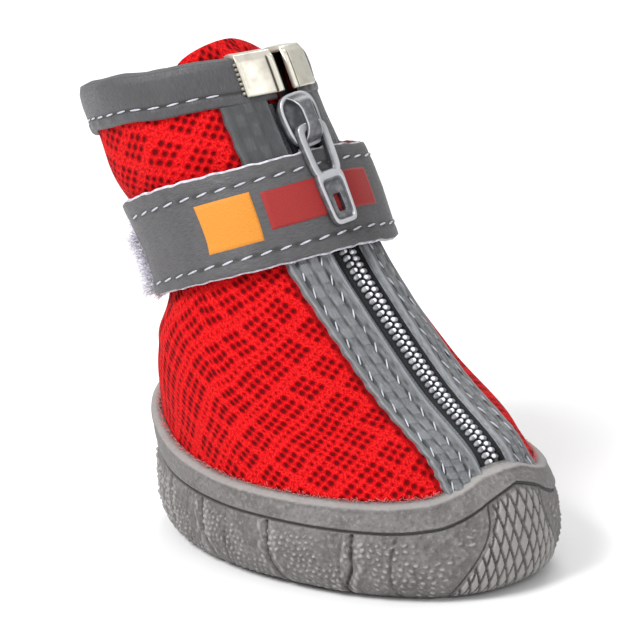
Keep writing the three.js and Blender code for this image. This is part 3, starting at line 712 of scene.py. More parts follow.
def mesh_run(v, u):
    """Flat coordinates of the mesh: alike on both sides, and squared up on the shaft's slanting rings."""
    right = -np.abs(u)
    along, up = np.moveaxis(cloth(v, right), -1, 0)
    shaft = smoothstep(v, 0.69, 0.74)  # the change lies under the strap
    along = along + 0.27 * shaft * np.sin(right) * (up - SHAFT_MIDDLE)
    heel = cloth(np.array([0.4]), np.array([-math.pi]))[0, 0]
    along = np.where(u > 0, 2 * heel - along, along)
    return np.stack([along, up - 0.85 * shaft * SHAFT_RADIUS * np.cos(u)], axis=-1)


def upper_piece(finish):
    """The mesh shell: up its outer face, over the collar's edge, and down inside."""
    turn = 0.7

    def levels(t):
        outside = between(UPPER_LOW, UPPER_TOP, t / turn)
        inside = between(UPPER_TOP, UPPER_LOW, (t - turn) / (1 - turn))
        return np.where(t < turn, outside, inside)

    def angles(s, v):
        edge = ZIP_SLOT / 2 + 0.6
        from_u = angle_across(v, edge)
        to_u = angle_across(v, -edge) + 2 * math.pi
        below_zip = v < ZIP_FROM
        from_u = np.where(below_zip, 0.0, from_u)
        to_u = np.where(below_zip, 2 * math.pi, to_u)
        return between(from_u, to_u, s)

    def place(s, t):
        v = levels(t)
        u = angles(s, v)
        turned = wrapped(u)
        depth = UPPER_WALL * smoothstep(t, turn - 0.015, turn + 0.015)
        return upper_point(v, u, upper_creases(v, turned) * (1 - depth / UPPER_WALL) - depth)

    def flat(s, t):
        v = levels(t)
        u = angles(s, v)
        return mesh_run(v, wrapped(u))

    # Kept for the mesh's painted shade in its seams and in the troughs of its creases.
    def relief(s, t):
        v = levels(t)
        u = angles(s, v)
        turned = wrapped(u)
        return np.where(t < turn, seam_shade(v, turned) + 0.4 * np.minimum(upper_creases(v, turned), 0), 0)

    mesh = sheet_mesh("upper_mesh", 300, 190, place, flat, relief=relief)
    return finish_piece(mesh, "upper_mesh", finish, ["upper"])


# ---- tongue ----
TONGUE_SPREAD = 0.78  # half its spread round the boot, as an angle, low down and at the collar
TONGUE_TOP_SPREAD = 1.0
TONGUE_RISE = 0.047  # of its rounded top, in v
TONGUE_LEAN = 6  # how far its top leans into the shaft
TONGUE_THICK = 1.5
TONGUE_FLAT = (32, 90)  # its cloth's width, and millimetres up it for each 1 of v


def tongue_piece(finish):
    """The flap behind the zip, brought forward where it shows in the gap between the clips."""

    def shape(s, t):
        """v, u and depth: up the front face, over the rounded top, and down the back."""
        across = 2 * s - 1
        rise = 1 - np.abs(2 * t - 1)
        dome = TONGUE_RISE * np.sqrt(np.maximum(0, 1 - across**2))
        v = between(0.5, 0.985 + dome, rise)
        lean = TONGUE_LEAN * smoothstep(v, 0.8, 1.08) * (1 - 0.9 * across**2)
        depth = TAPE_TOP + 1.0 + lean
        back = smoothstep(t, 0.485, 0.515)
        depth = depth + TONGUE_THICK * back - 0.2 * hill(rise, 0.93, 0.05) * (1 - 2 * back)
        depth = depth + 0.25 * np.sin(across * 6 + v * 9) * (1 - back)
        spread = between(TONGUE_SPREAD, TONGUE_TOP_SPREAD, smoothstep(v, 0.75, 1))
        from_gap = across * spread - 0.4 * zip_line(v)
        by_clips = smoothstep(v, 0.93, 0.97) * smoothstep(v, 1.02, 0.99)
        depth = depth - 4.5 * hill(from_gap, 0, 0.16) * by_clips
        return v, zip_line(v) * 0.6 + across * spread, depth

    def place(s, t):
        v, u, depth = shape(s, t)
        return upper_point(v, u, -depth)

    def flat(s, t):
        v, _, _ = shape(s, t)
        return np.stack([(s - 0.5) * TONGUE_FLAT[0], v * TONGUE_FLAT[1]], axis=-1)

    mesh = sheet_mesh("tongue_mesh", 90, 240, place, flat)
    return finish_piece(mesh, "tongue_mesh", finish, ["tongue"])


# ---- stitches ----
def seam_frames(v, u, lift, pitch, slant, start=0.5):
    """Places of stitches along a line on the upper: x along the seam, z outwards, turned by a slant."""
    points = upper_point(v, u, lift)
    run = run_along(points)
    frames = []
    for at in np.arange(pitch * start, run[-1] - pitch * 0.4, pitch):
        here = Vector([np.interp(at, run, column) for column in points.T])
        ahead = Vector([np.interp(at + 0.4, run, column) for column in points.T])
        behind = Vector([np.interp(at - 0.4, run, column) for column in points.T])
        out = Vector(upper_frame(np.interp(at, run, v), np.interp(at, run, u))[2])
        along = (ahead - behind).normalized()
        side = out.cross(along).normalized()
        turned = (along * math.cos(slant) + side * math.sin(slant)).normalized()
        axes = Matrix((turned, out.cross(turned), out)).transposed()
        frames.append(Matrix.Translation(here) @ axes.to_4x4())
    return frames


def stitch_mesh(name, frames, length, radius):
    """Short threads, rounded at both ends where they sink into the tape."""
    work = bmesh.new()
    for frame in frames:
        shape = Matrix.Scale(MM, 4) @ frame @ Matrix.Diagonal((length / 2, radius, radius, 1))
        turned = shape @ Matrix.Rotation(math.pi / 2, 4, "Y")
        bmesh.ops.create_uvsphere(work, u_segments=6, v_segments=6, radius=1, matrix=turned)
    return mesh_from(work, name)


# ---- facings beside the zip ----
OUTER_ROW = 1.7  # stitch rows, from the facing's outer edge
INNER_ROW = 5.4
STITCH_PITCH = 3.3
FACING_RUN = 92  # millimetres up the facing for each 1 of v


def facing_line(side, from_edge, count=200):
    """v and u along a facing, at a distance from its outer edge."""
    across = side * (ZIP_SLOT / 2 + FACING_WIDTH - from_edge)
    foot = float(rand_top(angle_across(0.22, across))) - 0.01
    v = np.linspace(foot, 0.71, count)
    return v, angle_across(v, across)


def facing_piece(side, finish):
    """Folded tape on one side of the zip, puckered between its two rows of stitches."""
    name = "facing_tape_left" if side > 0 else "facing_tape_right"

    def shape(s, t):
        share = s if side > 0 else 1 - s
        foot = rand_top(angle_across(0.22, side * (ZIP_SLOT / 2 + share * FACING_WIDTH))) - 0.012
        v = between(foot, FACING_TOP + 0.012, t)
        width = FACING_WIDTH + FACING_FLARE * smoothstep(v, 0.7, 0.9)
        return share, v, width

    def form(share, v, width):
        """Distance from the outer edge, height over the upper, and what its seams add to it."""
        edge = (1 - share) * width
        along = v * FACING_RUN
        side_edge = np.minimum(edge, width - edge)
        lift = -0.15 + (GAP + FACING_THICK + 0.1) * smoothstep(side_edge, -0.05, 0.42)
        rim = 0.3 * hill(edge, 0.6, 0.4) + 0.38 * hill(width - edge, 0.5, 0.4)
        phase = 2 * math.pi * along / STITCH_PITCH
        band = (edge - OUTER_ROW) / (INNER_ROW - OUTER_ROW)
        block = smoothstep(np.cos(phase + 1.4 * np.sign(band - 0.5)), -0.35, 0.15)
        middle = np.abs(band - 0.5)
        pucker = 0.22 * block * smoothstep(middle, 0.5, 0.36) * smoothstep(middle, 0.02, 0.1)
        rows = hill(edge, OUTER_ROW, 0.32) + hill(edge, INNER_ROW, 0.32) + 0.5 * hill(band, 0.5, 0.08)
        trough = -0.34 * rows * (0.65 + 0.35 * np.cos(phase + 2.0))
        inner = 0.12 * np.cos(phase + 1.0) * hill(edge, INNER_ROW + 1.0, 0.45)
        quiet = between(1.0, 0.12, smoothstep(v, 0.66, 0.7))
        wave = 0.12 * np.sin(along * 0.55 + side) + 0.08 * np.sin(along * 1.3)
        seams = (rim + pucker + trough + inner) * quiet
        return lift + seams + wave * smoothstep(side_edge, 0.2, 2.0), seams

    def place(s, t):
        share, v, width = shape(s, t)
        edge = (1 - share) * width
        phase = 2 * math.pi * v * FACING_RUN / STITCH_PITCH
        scallop = 0.12 * np.sin(phase + 0.6) * smoothstep(edge, 1.0, 0.0)
        u = angle_across(v, side * (ZIP_SLOT / 2 + share * width + scallop * share))
        return upper_point(v, u, form(share, v, width)[0])

    # Kept for the tape's painted shade in its stitch troughs and painted highlight on its rims; lowered above
    # the strap, so that the tape there is painted darker.
    def relief(s, t):
        share, v, width = shape(s, t)
        upper_part = 0.16 * smoothstep(v, 0.7, 0.76)
        return form(share, v, width)[1] - upper_part

    def flat(s, t):
        share, v, width = shape(s, t)
        return np.stack([share * width, v * FACING_RUN], axis=-1)

    mesh = sheet_mesh(name, 56, 480, place, flat, relief=relief)
    return finish_piece(mesh, name, finish, ["facing_left" if side > 0 else "facing_right"])


def facing_stitches(finish):
    frames = []
    for side in (1, -1):
        for row, slant in ((OUTER_ROW, 0.3), (INNER_ROW, 0.42)):
            v, u = facing_line(side, row)
            frames += seam_frames(v, u, GAP + FACING_THICK - 0.1, STITCH_PITCH, side * slant)
    mesh = stitch_mesh("facing_stitches", frames, 1.9, 0.15)
    return finish_piece(mesh, "facing_stitches", finish, ["facing_left", "facing_right"])


# ---- zip ----
COIL_PITCH = 1.18
# a turn's and its crown's distance from the coil's middle, height, half sizes, and relief, which paints the
# crown with a white highlight
COIL_TURN = (1.0, 0.0, (0.46, 0.78, 0.44), 0)
COIL_CROWN = (0.6, 0.24, (0.37, 0.37, 0.34), 0.5)
COIL_AXIS = 0.55  # how far the coil sits off the zip's line, to the right
TAPE_ACROSS = np.array([0, 1.6, 1.75, 2.0, 2.9, 3.15, 3.4, 3.85, 4.1, 7.5])  # from the zip's line
TAPE_DEPTH = np.array([0.9, 0.9, 1.4, 1.2, 1.2, 1.7, 1.5, 0.15, 0.9, 1.3])
TAPE_CORD = np.array([0.1, 0.1, 0, 0.5, 0.5, 0, 0, 0, 0, 0])  # where its pale cords run


def zip_tape(finish):
    """The tape: flat under the coil, a cord on each side, and turned up against the slot's edges."""

    def across(s):
        return signed_power(2 * s - 1, 1.3) * TAPE_WIDTH / 2

    def place(s, t):
        v = between(ZIP_FROM - 0.01, ZIP_TO, t)
        u = angle_across(v, across(s))
        return upper_point(v, u, -np.interp(np.abs(across(s)), TAPE_ACROSS, TAPE_DEPTH))

    def flat(s, t):
        return np.stack([across(s), t * 62], axis=-1)

    def relief(s, t):
        return np.interp(np.abs(across(s)), TAPE_ACROSS, TAPE_CORD)

    mesh = sheet_mesh("zip_tape", 110, 120, place, flat, relief=relief)
    return finish_piece(mesh, "zip_tape", finish, ["zip_chain"])


def zip_coil(finish):
    """Closed coil: two rows of small turns with a dark line between them."""
    v = np.linspace(ZIP_FROM, ZIP_TO, 240)
    u = zip_line(v)
    work = bmesh.new()
    crown = []
    for side, start in ((1, 0.5), (-1, 1.0)):
        for frame_at in seam_frames(v, u, -0.65, COIL_PITCH, 0, start):
            for middle, high, size, highlight in (COIL_TURN, COIL_CROWN):
                across = Matrix.Translation((0, side * middle - COIL_AXIS, high))
                bar = across @ Matrix.Rotation(side * 0.3, 4, "Z")
                shape = Matrix.Scale(MM, 4) @ frame_at @ bar @ Matrix.Diagonal((*size, 1))
                turned = shape @ Matrix.Rotation(math.pi / 2, 4, "X")
                made = bmesh.ops.create_icosphere(work, subdivisions=2, radius=1, matrix=turned)
                # the crowns get the relief that the finish paints as a white highlight
                crown += [highlight] * len(made["verts"])
    mesh = mesh_from(work, "zip_coil")
    keep_relief(mesh, crown)
    return finish_piece(mesh, "zip_coil", finish, ["zip_chain"])


# ---- collar binding ----
BINDING_ROW = 5.7  # its stitch row, from the collar's edge


def binding_sag(turned):
    """How far its lower edge strays from an even line."""
    return (0.3 * np.sin(turned * 4 + 0.5) + 0.22 * np.sin(turned * 9)) * 0.5


def binding_piece(finish):
    """Tape folded over the collar's edge, open in front, where its ends lie in the clips."""
    start = float(angle_across(1.0, CLIP_GAP / 2 + CLIP_THICK + GAP))
    end = float(angle_across(1.0, -CLIP_GAP / 2 - CLIP_THICK - GAP)) + 2 * math.pi
    outer = GAP + BINDING_THICK
    inner = -UPPER_WALL - GAP - BINDING_THICK
    # drop below the collar's edge and offset: up the outside, over the fold, down the inside
    profile = np.array(
        [
            [BINDING_DROP, 0.1],
            [BINDING_DROP + 0.05, outer - 0.35],
            [BINDING_DROP - 0.3, outer],
            [4.0, outer],
            [1.2, outer],
            [0.1, outer - 0.4],
            [-0.25, -1.0],
            [0.1, inner + 0.4],
            [1.2, inner],
            [BINDING_DROP, inner],
        ]
    )
    share = run_along(profile)
    share = share / share[-1]

    def shape(s, t):
        u = between(start, end, s)
        drop = np.interp(t, share, profile[:, 0])
        offset = np.interp(t, share, profile[:, 1])
        turned = wrapped(u)
        outside = smoothstep(offset, 0.2, 0.9)
        seam = -0.22 * hill(drop, BINDING_ROW, 0.35) * outside
        dimple = 0.1 * np.cos(2 * math.pi * turned * 18 / STITCH_PITCH) * hill(drop, 6.6, 0.7) * outside
        swell = 0.14 * hill(drop, 3.0, 1.6) * outside
        wave = (0.24 * np.sin(turned * 7 + 1) + 0.12 * np.sin(turned * 13)) * outside * smoothstep(drop, 7, 1)
        return u, drop + binding_sag(turned), offset + seam + dimple + swell + wave * 0.5

    def place(s, t):
        u, drop, offset = shape(s, t)
        v = np.where(drop > 0, below(u, np.maximum(drop, 0)), 1 - drop / 100)
        return upper_point(v, u, offset)

    def flat(s, t):
        return np.stack([t * 18, s * 118], axis=-1)

    # Painted highlight on the fold over the collar and on the lower edge, painted shade along the stitch row.
    def relief(s, t):
        drop = np.interp(t, share, profile[:, 0])
        outside = smoothstep(np.interp(t, share, profile[:, 1]), 0.2, 0.9)
        top = 0.26 * hill(drop, 0.2, 0.6)
        row = 0.2 * hill(drop, BINDING_ROW, 0.3)
        return (top - row + 0.2 * hill(drop, BINDING_DROP, 0.35)) * outside

    mesh = sheet_mesh("collar_tape", 360, 90, place, flat, relief=relief)
    return finish_piece(mesh, "collar_tape", finish, ["collar_binding"])


def binding_stitches(finish):
    start = float(angle_across(1.0, 7.5))
    end = float(angle_across(1.0, -7.5)) + 2 * math.pi
    u = np.linspace(start, end, 300)
    v = below(u, BINDING_ROW + binding_sag(wrapped(u)))
    frames = seam_frames(v, u, GAP + BINDING_THICK - 0.1, STITCH_PITCH, 0.06)
    mesh = stitch_mesh("collar_stitches", frames, 2.2, 0.17)
    return finish_piece(mesh, "collar_stitches", finish, ["collar_binding"])


# ---- strap ----
STRAP_ROWS = (0.14, 0.86)  # its stitch rows, as shares of its width


def strap_loose(u):
    """1 where the stiff strap stands off the boot beside the zip."""
    return hill(u, 0.62, 0.33)


def strap_lift(u):
    """How far the strap's underside is from the upper, less where it is sewn down at the back."""
    sewn = smoothstep(u, 1, 2)
    return between(STRAP_LIFT, 2 * GAP, sewn) + STRAP_BULGE * strap_loose(u)


def strap_wave(v, u):
    """The strap's slight buckles, with none over the zip."""
    wave = 0.18 * np.sin(u * 6 + 1) + 0.12 * np.sin(u * 11 + 8 * v)
    return wave * smoothstep(np.abs(u - zip_line(v)), 0.05, 0.5)


def strap_band(name, finish, low, high, bottom, top, from_u, to_u, wide=0.0):
    """A band round the ankle between two heights off the upper: a closed strip with rounded edges."""
    thick = top - bottom

    def shape(s, t):
        u = between(from_u, to_u, s)
        angle = 2 * math.pi * t
        across = 0.5 - 0.5 * signed_power(np.cos(angle), 0.22)
        height = bottom + thick * (0.5 - 0.5 * signed_power(np.sin(angle), 0.5))
        edge = 0.0006 * np.sin(u * 23) + 0.0004 * np.sin(u * 41)
        v = between(low - wide, high + wide, across) + edge - STRAP_DIP * strap_loose(u)
        crown = 0.12 * hill(across, 0.5, 0.35)
        rib = -0.1 * sum(hill(across, row, 0.03) for row in STRAP_ROWS)
        return v, u, height + np.where(height > bottom + thick * 0.6, crown + rib, 0)

    def place(s, t):
        v, u, height = shape(s, t)
        return upper_point(v, u, strap_lift(u) + strap_wave(v, u) + height)

    def flat(s, t):
        v, u, _ = shape(s, t)
        return np.stack([(v - low) * 96, u * 18], axis=-1)

    # Painted shade along the two stitch rows.
    def relief(s, t):
        across = 0.5 - 0.5 * signed_power(np.cos(2 * math.pi * t), 0.22)
        rows = sum(hill(across, row, 0.025) for row in STRAP_ROWS)
        return -0.2 * rows * (0.6 + 0.4 * np.cos(s * 2 * math.pi * 32))

    mesh = sheet_mesh(name, 420, 96, place, flat, closed=True, relief=relief)
    close_up(mesh, holes=True)
    return finish_piece(mesh, name, finish, ["strap"])


def strap_stitches(finish):
    frames = []
    for share in STRAP_ROWS:
        u = np.linspace(STRAP_FROM + 0.12, STRAP_TO - 0.1, 300)
        v = between(STRAP_LOW, STRAP_HIGH, share) - STRAP_DIP * strap_loose(u)
        lift = strap_lift(u) + strap_wave(v, u) + STRAP_THICK + 0.02
        frames += seam_frames(v, u, lift, STITCH_PITCH, 0.16)
    mesh = stitch_mesh("strap_stitches", frames, 2.1, 0.19)
    return finish_piece(mesh, "strap_stitches", finish, ["strap"])


def strap_label(name, finish, from_u, to_u, low, high):
    """A thin woven label sewn on the strap."""

    def shape(s, t):
        return between(low, high, t), between(from_u, to_u, s)

    def place(s, t):
        share, u = shape(s, t)
        v = between(STRAP_LOW, STRAP_HIGH, share) - STRAP_DIP * strap_loose(u)
        edge = np.minimum(np.minimum(s, 1 - s) * 24, np.minimum(t, 1 - t) * 12)
        lift = STRAP_THICK + 0.02 + 0.22 * smoothstep(edge, 0.0, 0.6)
        return upper_point(v, u, strap_lift(u) + strap_wave(v, u) + lift + 0.12 * hill(share, 0.5, 0.35))

    def flat(s, t):
        return np.stack([s * 20, t * 9], axis=-1)

    mesh = sheet_mesh(name, 80, 36, place, flat)
    return finish_piece(mesh, name, finish, ["strap"])


# ---- fleecy patch ----
def loop_base(finish):
    """The patch's tape, rounded at both edges, on which the fuzz stands."""

    def shape(s, t):
        u = between(PATCH_FROM, PATCH_TO, s)
        across = np.abs(2 * t - 1)
        v = between(STRAP_LOW - 0.004, STRAP_HIGH + 0.002, t)
        return v, u, 0.45 + 0.7 * np.sqrt(np.maximum(0, 1 - across**8))

    def place(s, t):
        v, u, lift = shape(s, t)
        fluff = 0.12 * np.sin(u * 160) * np.sin(v * 700)
        return upper_point(v, u, lift + fluff)

    def flat(s, t):
        return np.stack([s * 26, t * 16], axis=-1)

    mesh = sheet_mesh("loop_base", 180, 90, place, flat)
    return finish_piece(mesh, "loop_base", finish, ["loop_patch"])


def hairs(name, finish, slot, nodes, roots, length, radius, seed, spread):
    """Short curved fibres on the upper: roots are rows of v, u and lift."""
    chance = np.random.default_rng(seed)
    work = bmesh.new()
    for v, u, lift in roots:
        here = Vector(upper_point(v, u, lift))
        left, up, out = [Vector(axis) for axis in upper_frame(v, u)]
        lean = left * chance.normal(0, spread) + up * chance.normal(0, spread) + out
        tall = length * chance.uniform(0.6, 1.2)
        turn = lean.to_track_quat("Z", "Y").to_matrix().to_4x4()
        shape = Matrix.Scale(MM, 4) @ Matrix.Translation(here + lean.normalized() * tall / 2) @ turn
        tip = radius * 0.4
        bmesh.ops.create_cone(
            work, cap_ends=True, segments=3, radius1=radius, radius2=tip, depth=tall, matrix=shape
        )
    return finish_piece(mesh_from(work, name), name, finish, nodes)


def loop_fuzz(finish):
    """The patch's fuzz, with taller tufts close to the strap's end."""
    chance = np.random.default_rng(4)
    count = 4200
    u = chance.uniform(STRAP_FROM - 0.7, STRAP_FROM + 0.02, count)
    v = chance.uniform(STRAP_LOW - 0.002, STRAP_HIGH - 0.02, count)
    roots = np.stack([v, u, np.full(count, 1.0)], axis=-1)
    tufts = 2400
    u = chance.uniform(STRAP_FROM - 0.2, STRAP_FROM - 0.01, tufts)
    v = chance.uniform(STRAP_LOW + 0.012, STRAP_HIGH - 0.045, tufts)
    roots = np.concatenate([roots, np.stack([v, u, chance.uniform(1.0, 3.2, tufts)], axis=-1)])
    size = {"length": 1.7, "radius": 0.08, "spread": 0.7}
    return hairs("loop_fuzz", finish, "loop", ["loop_patch"], roots, seed=5, **size)


def frayed_edge(finish):
    """Cut yarn ends where the mesh meets the rand."""
    chance = np.random.default_rng(7)
    count = 1500
    u = np.concatenate([chance.uniform(0.45, 3.1, count // 2), chance.uniform(-3.1, -0.45, count // 2)])
    v = rand_top(u) + chance.uniform(0.004, 0.014, count)
    roots = np.stack([v, u, np.full(count, 0.1)], axis=-1)
    size = {"length": 0.9, "radius": 0.07, "spread": 1.0}
    return hairs("frayed_edge", finish, "mesh", ["upper"], roots, seed=8, **size)


# ---- sole ----
# x of each groove at the middle shape, how far it bends to the tread's edge, and x high on the side
SIDE_GROOVES = np.array([[20.2, 2.5, 20.4], [8.3, 1.5, 5.3], [-9.8, -1.5, -10], [-22.5, -3, -20.5]])
FINE_LINES = (26, 18.4, -4.3, -15)  # x of the shallow lines between them
TOE_LINE_X = 31.4
HEEL_LINE_X = -21
GROOVE_WIDTH = 1.5
BUMPER_HIGH = 11  # where the toe's diamonds end, in degrees from the toe, under the rand and at the ground
BUMPER_LOW = 25
INSOLE_TOP = 8.1


def notch(distance, width, depth):
    """Depth of a groove at a distance from its middle line."""
    return depth * smoothstep(np.abs(distance), width / 2 + 0.25, width / 2 - 0.2)


def lattice(across, up, wide, tall):
    """Height of raised diamonds, 0 in the grooves between them and 1 on their backs."""
    a = across / wide + up / tall
    b = across / wide - up / tall
    near = np.minimum(np.abs(a - np.round(a)), np.abs(b - np.round(b)))
    return smoothstep(near, 0.02, 0.16)


def knobs(across, up, pitch):
    """Rows of small round knobs, from 0 to 1."""
    row = np.round(up / (pitch * 0.87))
    shifted = across / pitch - 0.5 * (row % 2)
    dx = (shifted - np.round(shifted)) * pitch
    dy = up - row * pitch * 0.87
    return smoothstep(np.hypot(dx, dy), 0.42 * pitch, 0.12 * pitch)


def side_relief(u, x, z, rise):
    """How far the sole's side stands out: blocks between grooves, knobs, and the toe's diamond bumper."""
    degrees = np.degrees(np.abs(u))
    run = np.degrees(u) * 0.57
    relief = np.zeros_like(u)
    for groove_x, bend, high_x in SIDE_GROOVES:
        line = between(groove_x - bend, high_x, smoothstep(rise, 0.0, 0.55))
        relief = relief - notch(x - line, 0.4, 0.6)
        beside = np.abs(x - line)
        relief = relief + 0.18 * smoothstep(beside, 0.6, 1.0) * smoothstep(beside, 2.4, 1.4)
    for line in FINE_LINES:
        relief = relief - notch(x - line - 0.12 * (z - 6), 0.3, 0.35)
    patch = np.sin(x * 0.41 + 0.3 * z + 1.2) + 0.6 * np.sin(x * 0.93 - 0.5 * z)
    knob_zone = smoothstep(patch, -0.75, -0.1) * smoothstep(rise, 0.97, 0.85)
    size = 0.3 + 0.16 * np.sin(x * 2.7 + z) * np.sin(z * 3.1 - x)
    relief = relief + size * knobs(x + 0.2 * np.sin(z * 2.2), z + 0.25 * np.sin(x * 1.3), 1.15) * knob_zone
    relief = relief + 0.16 * np.sin(x * 4.4 + 0.5 * np.sin(z * 3)) * (1 - knob_zone) * np.sin(z * 1.9 + x)
    heel_lift = smoothstep(x, -20, -26)
    relief = relief + 0.35 * knobs(np.degrees(u) * 0.45, z, 2.2) * heel_lift * smoothstep(rise, 0.98, 0.85)
    bumper_edge = between(BUMPER_LOW, BUMPER_HIGH, smoothstep(rise, 0.0, 0.85))
    bumper = smoothstep(degrees, bumper_edge, bumper_edge - 1.2)
    border = notch(degrees - bumper_edge - 1.0, 0.6, 0.5)
    diamonds = 0.8 * lattice(run, z, 2.1, 5.6) - 0.4
    flank = smoothstep(degrees, bumper_edge + 7, bumper_edge + 2)
    relief = relief * (1 - flank)
    return relief * (1 - bumper) + diamonds * bumper * smoothstep(rise, 1.0, 0.93) - border


def sole_side(finish):
    """The side from the tread's edge up to the groove, the smooth rand above it, and its rounded lip."""
    groove_from, rand_from, lip_from = 0.56, 0.62, 0.92

    # Kept for the rubber's painted shade in the grooves and the gap under the rand, and its painted highlight
    # on the rand's top bead and lower lip.
    def relief(s, t):
        u = between(-math.pi, math.pi, s)
        groove_z, _, tread_inset, groove_inset = sole_at(u)
        rise = np.clip(t / groove_from, 0, 1)
        x = outline(u, groove_inset * rise**2 + tread_inset * INSET_SHARE(rise))[0]
        tread = spring_height(outline(u, tread_inset)[0])
        side = side_relief(u, x, between(tread, groove_z, rise), rise)
        band = (t - rand_from) / (lip_from - rand_from)
        rand = 0.34 * hill(band, 1.0, 0.1) + 0.16 * hill(band, 0.08, 0.07)
        into = smoothstep(t, groove_from - 0.008, groove_from + 0.012)
        gap = -0.4 * into * smoothstep(t, rand_from + 0.012, rand_from)
        return np.where(t < groove_from, side, rand) + gap

    def shape(s, t):
        u = between(-math.pi, math.pi, s)
        groove_z, rand_v, tread_inset, groove_inset = sole_at(u)
        rise = np.clip(t / groove_from, 0, 1)
        x, y = outline(u, groove_inset * rise**2 + tread_inset * INSET_SHARE(rise))
        tread = spring_height(outline(u, tread_inset)[0])
        z = between(tread, groove_z, rise)
        ahead = np.stack(outline(u + 0.01, groove_inset), axis=-1)
        ahead = unit(ahead - np.stack(outline(u - 0.01, groove_inset), axis=-1))
        out = np.stack([ahead[:, 1], -ahead[:, 0], np.zeros_like(u)], axis=-1)
        side = np.stack([x, y, z], axis=-1)
        stand = side_relief(u, x, z, rise)
        foot = smoothstep(rise, 0.0, 0.06)
        side = side + out * (stand * foot * smoothstep(rise, 1.0, 0.97))[:, None]
        lip = upper_point(rand_v, u, GAP + RAND_WALL)
        band = np.clip((t - rand_from) / (lip_from - rand_from), 0, 1)[:, None]
        base = np.stack([*outline(u, groove_inset), groove_z + 0.55], axis=-1)
        bulge = 0.4 * np.sin(band * math.pi) ** 0.8
        bulge = bulge + 0.32 * hill(band, 0.9, 0.1) + 0.14 * hill(band, 0.08, 0.07)
        rand = base * (1 - band) + lip * band + out * bulge
        dip = smoothstep(t, groove_from, groove_from + 0.02) * smoothstep(t, rand_from, rand_from - 0.02)
        middle = smoothstep(t, groove_from, rand_from)[:, None]
        groove = side * (1 - middle) + rand * middle - out * (0.45 * dip)[:, None]
        over = np.clip((t - lip_from) / (1 - lip_from), 0, 1)
        inward = upper_point(rand_v + 0.010 * np.sin(over * math.pi), u, GAP + RAND_WALL - over * 2.6)
        points = np.where((t < groove_from)[:, None], side, groove)
        points = np.where((t >= rand_from)[:, None], rand, points)
        points = np.where((t > lip_from)[:, None], inward, points)
        return points

    def flat(s, t):
        return np.stack([s * 230, t * 24], axis=-1)

    mesh = sheet_mesh("sole_side", 1000, 96, shape, flat, closed=True, relief=relief)
    return finish_piece(mesh, "sole_side", finish, ["sole"])


def tread_relief(x, y):
    """Depth of the tread's grooves at a point."""
    side = np.abs(y)
    half = CENTRE(x)
    inside = smoothstep(side, half + 0.4, half - 0.4)
    middle = smoothstep(x, HEEL_LINE_X - 0.5, HEEL_LINE_X) * smoothstep(x, TOE_LINE_X, TOE_LINE_X - 0.5)
    depth = notch(side - half, GROOVE_WIDTH, LUG_DEPTH) * middle
    depth = np.maximum(depth, notch(x - TOE_LINE_X - 0.4 * (1 - side / 25), GROOVE_WIDTH, LUG_DEPTH))
    heel = notch(x - HEEL_LINE_X, GROOVE_WIDTH, LUG_DEPTH) * smoothstep(side, half + 0.6, half)
    depth = np.maximum(depth, heel)
    reach = SOLE_WIDTH / 2 + 2
    for groove_x, bend, _ in SIDE_GROOVES:
        share = np.clip((side - CENTRE(groove_x)) / (reach - CENTRE(groove_x)), 0, 1)
        groove = notch(x - groove_x + bend * share**2, GROOVE_WIDTH, LUG_DEPTH) * (1 - inside)
        depth = np.maximum(depth, groove)
    for groove_x in (18.1, -5.6):
        depth = np.maximum(depth, notch(x - groove_x + 1 - side / half, GROOVE_WIDTH, LUG_DEPTH) * inside)
    toe = smoothstep(x, TOE_LINE_X + 1, TOE_LINE_X + 1.6)
    depth = np.maximum(depth, 1.1 * (1 - lattice(y, x, 1.9, 4.2)) * toe)
    heel_zone = smoothstep(x, HEEL_LINE_X - 1, HEEL_LINE_X - 1.6) * smoothstep(side, 5.3, 4.9)
    depth = np.maximum(depth, 1.1 * (1 - lattice(y, x, 1.8, 4.4)) * heel_zone)
    heel_rails = notch(side - 5.8, 0.8, 1.4) * smoothstep(x, HEEL_LINE_X - 0.5, HEEL_LINE_X - 1)
    depth = np.maximum(depth, heel_rails)
    centre_zone = inside * smoothstep(x, -5, -4.2) * smoothstep(x, 17.5, 16.8)
    ribs = notch(((side * 0.9 + x) % 3.2) - 1.6, 0.7, 0.9) * centre_zone * smoothstep(side, 3.2, 3.8)
    depth = np.maximum(depth, ribs)
    for block_x in (14.9, 9.7, 4.35, -1.2):
        shape = np.maximum(np.abs(x - block_x) / 2.3, side / 2.6 + np.abs(x - block_x) / 6)
        depth = np.maximum(depth, notch(shape * 2.4 - 2.55, 0.5, 1.2) * smoothstep(side, 3.6, 3.2))
    fore = inside * smoothstep(x, 19.2, 20) * middle
    aft = inside * smoothstep(x, -7, -7.8) * middle
    depth = np.maximum(depth, notch(side - np.abs(x - 24.6) * 0.8, 0.5, 1.0) * fore)
    depth = np.maximum(depth, notch(side - np.abs(x + 13.5) * 0.7, 0.5, 1.0) * aft)
    outer = (1 - inside) * middle
    depth = depth - 0.25 * knobs(x, y, 1.5) * outer * smoothstep(np.sin(x * 0.52), -0.2, 0.4) * (depth < 0.3)
    return depth


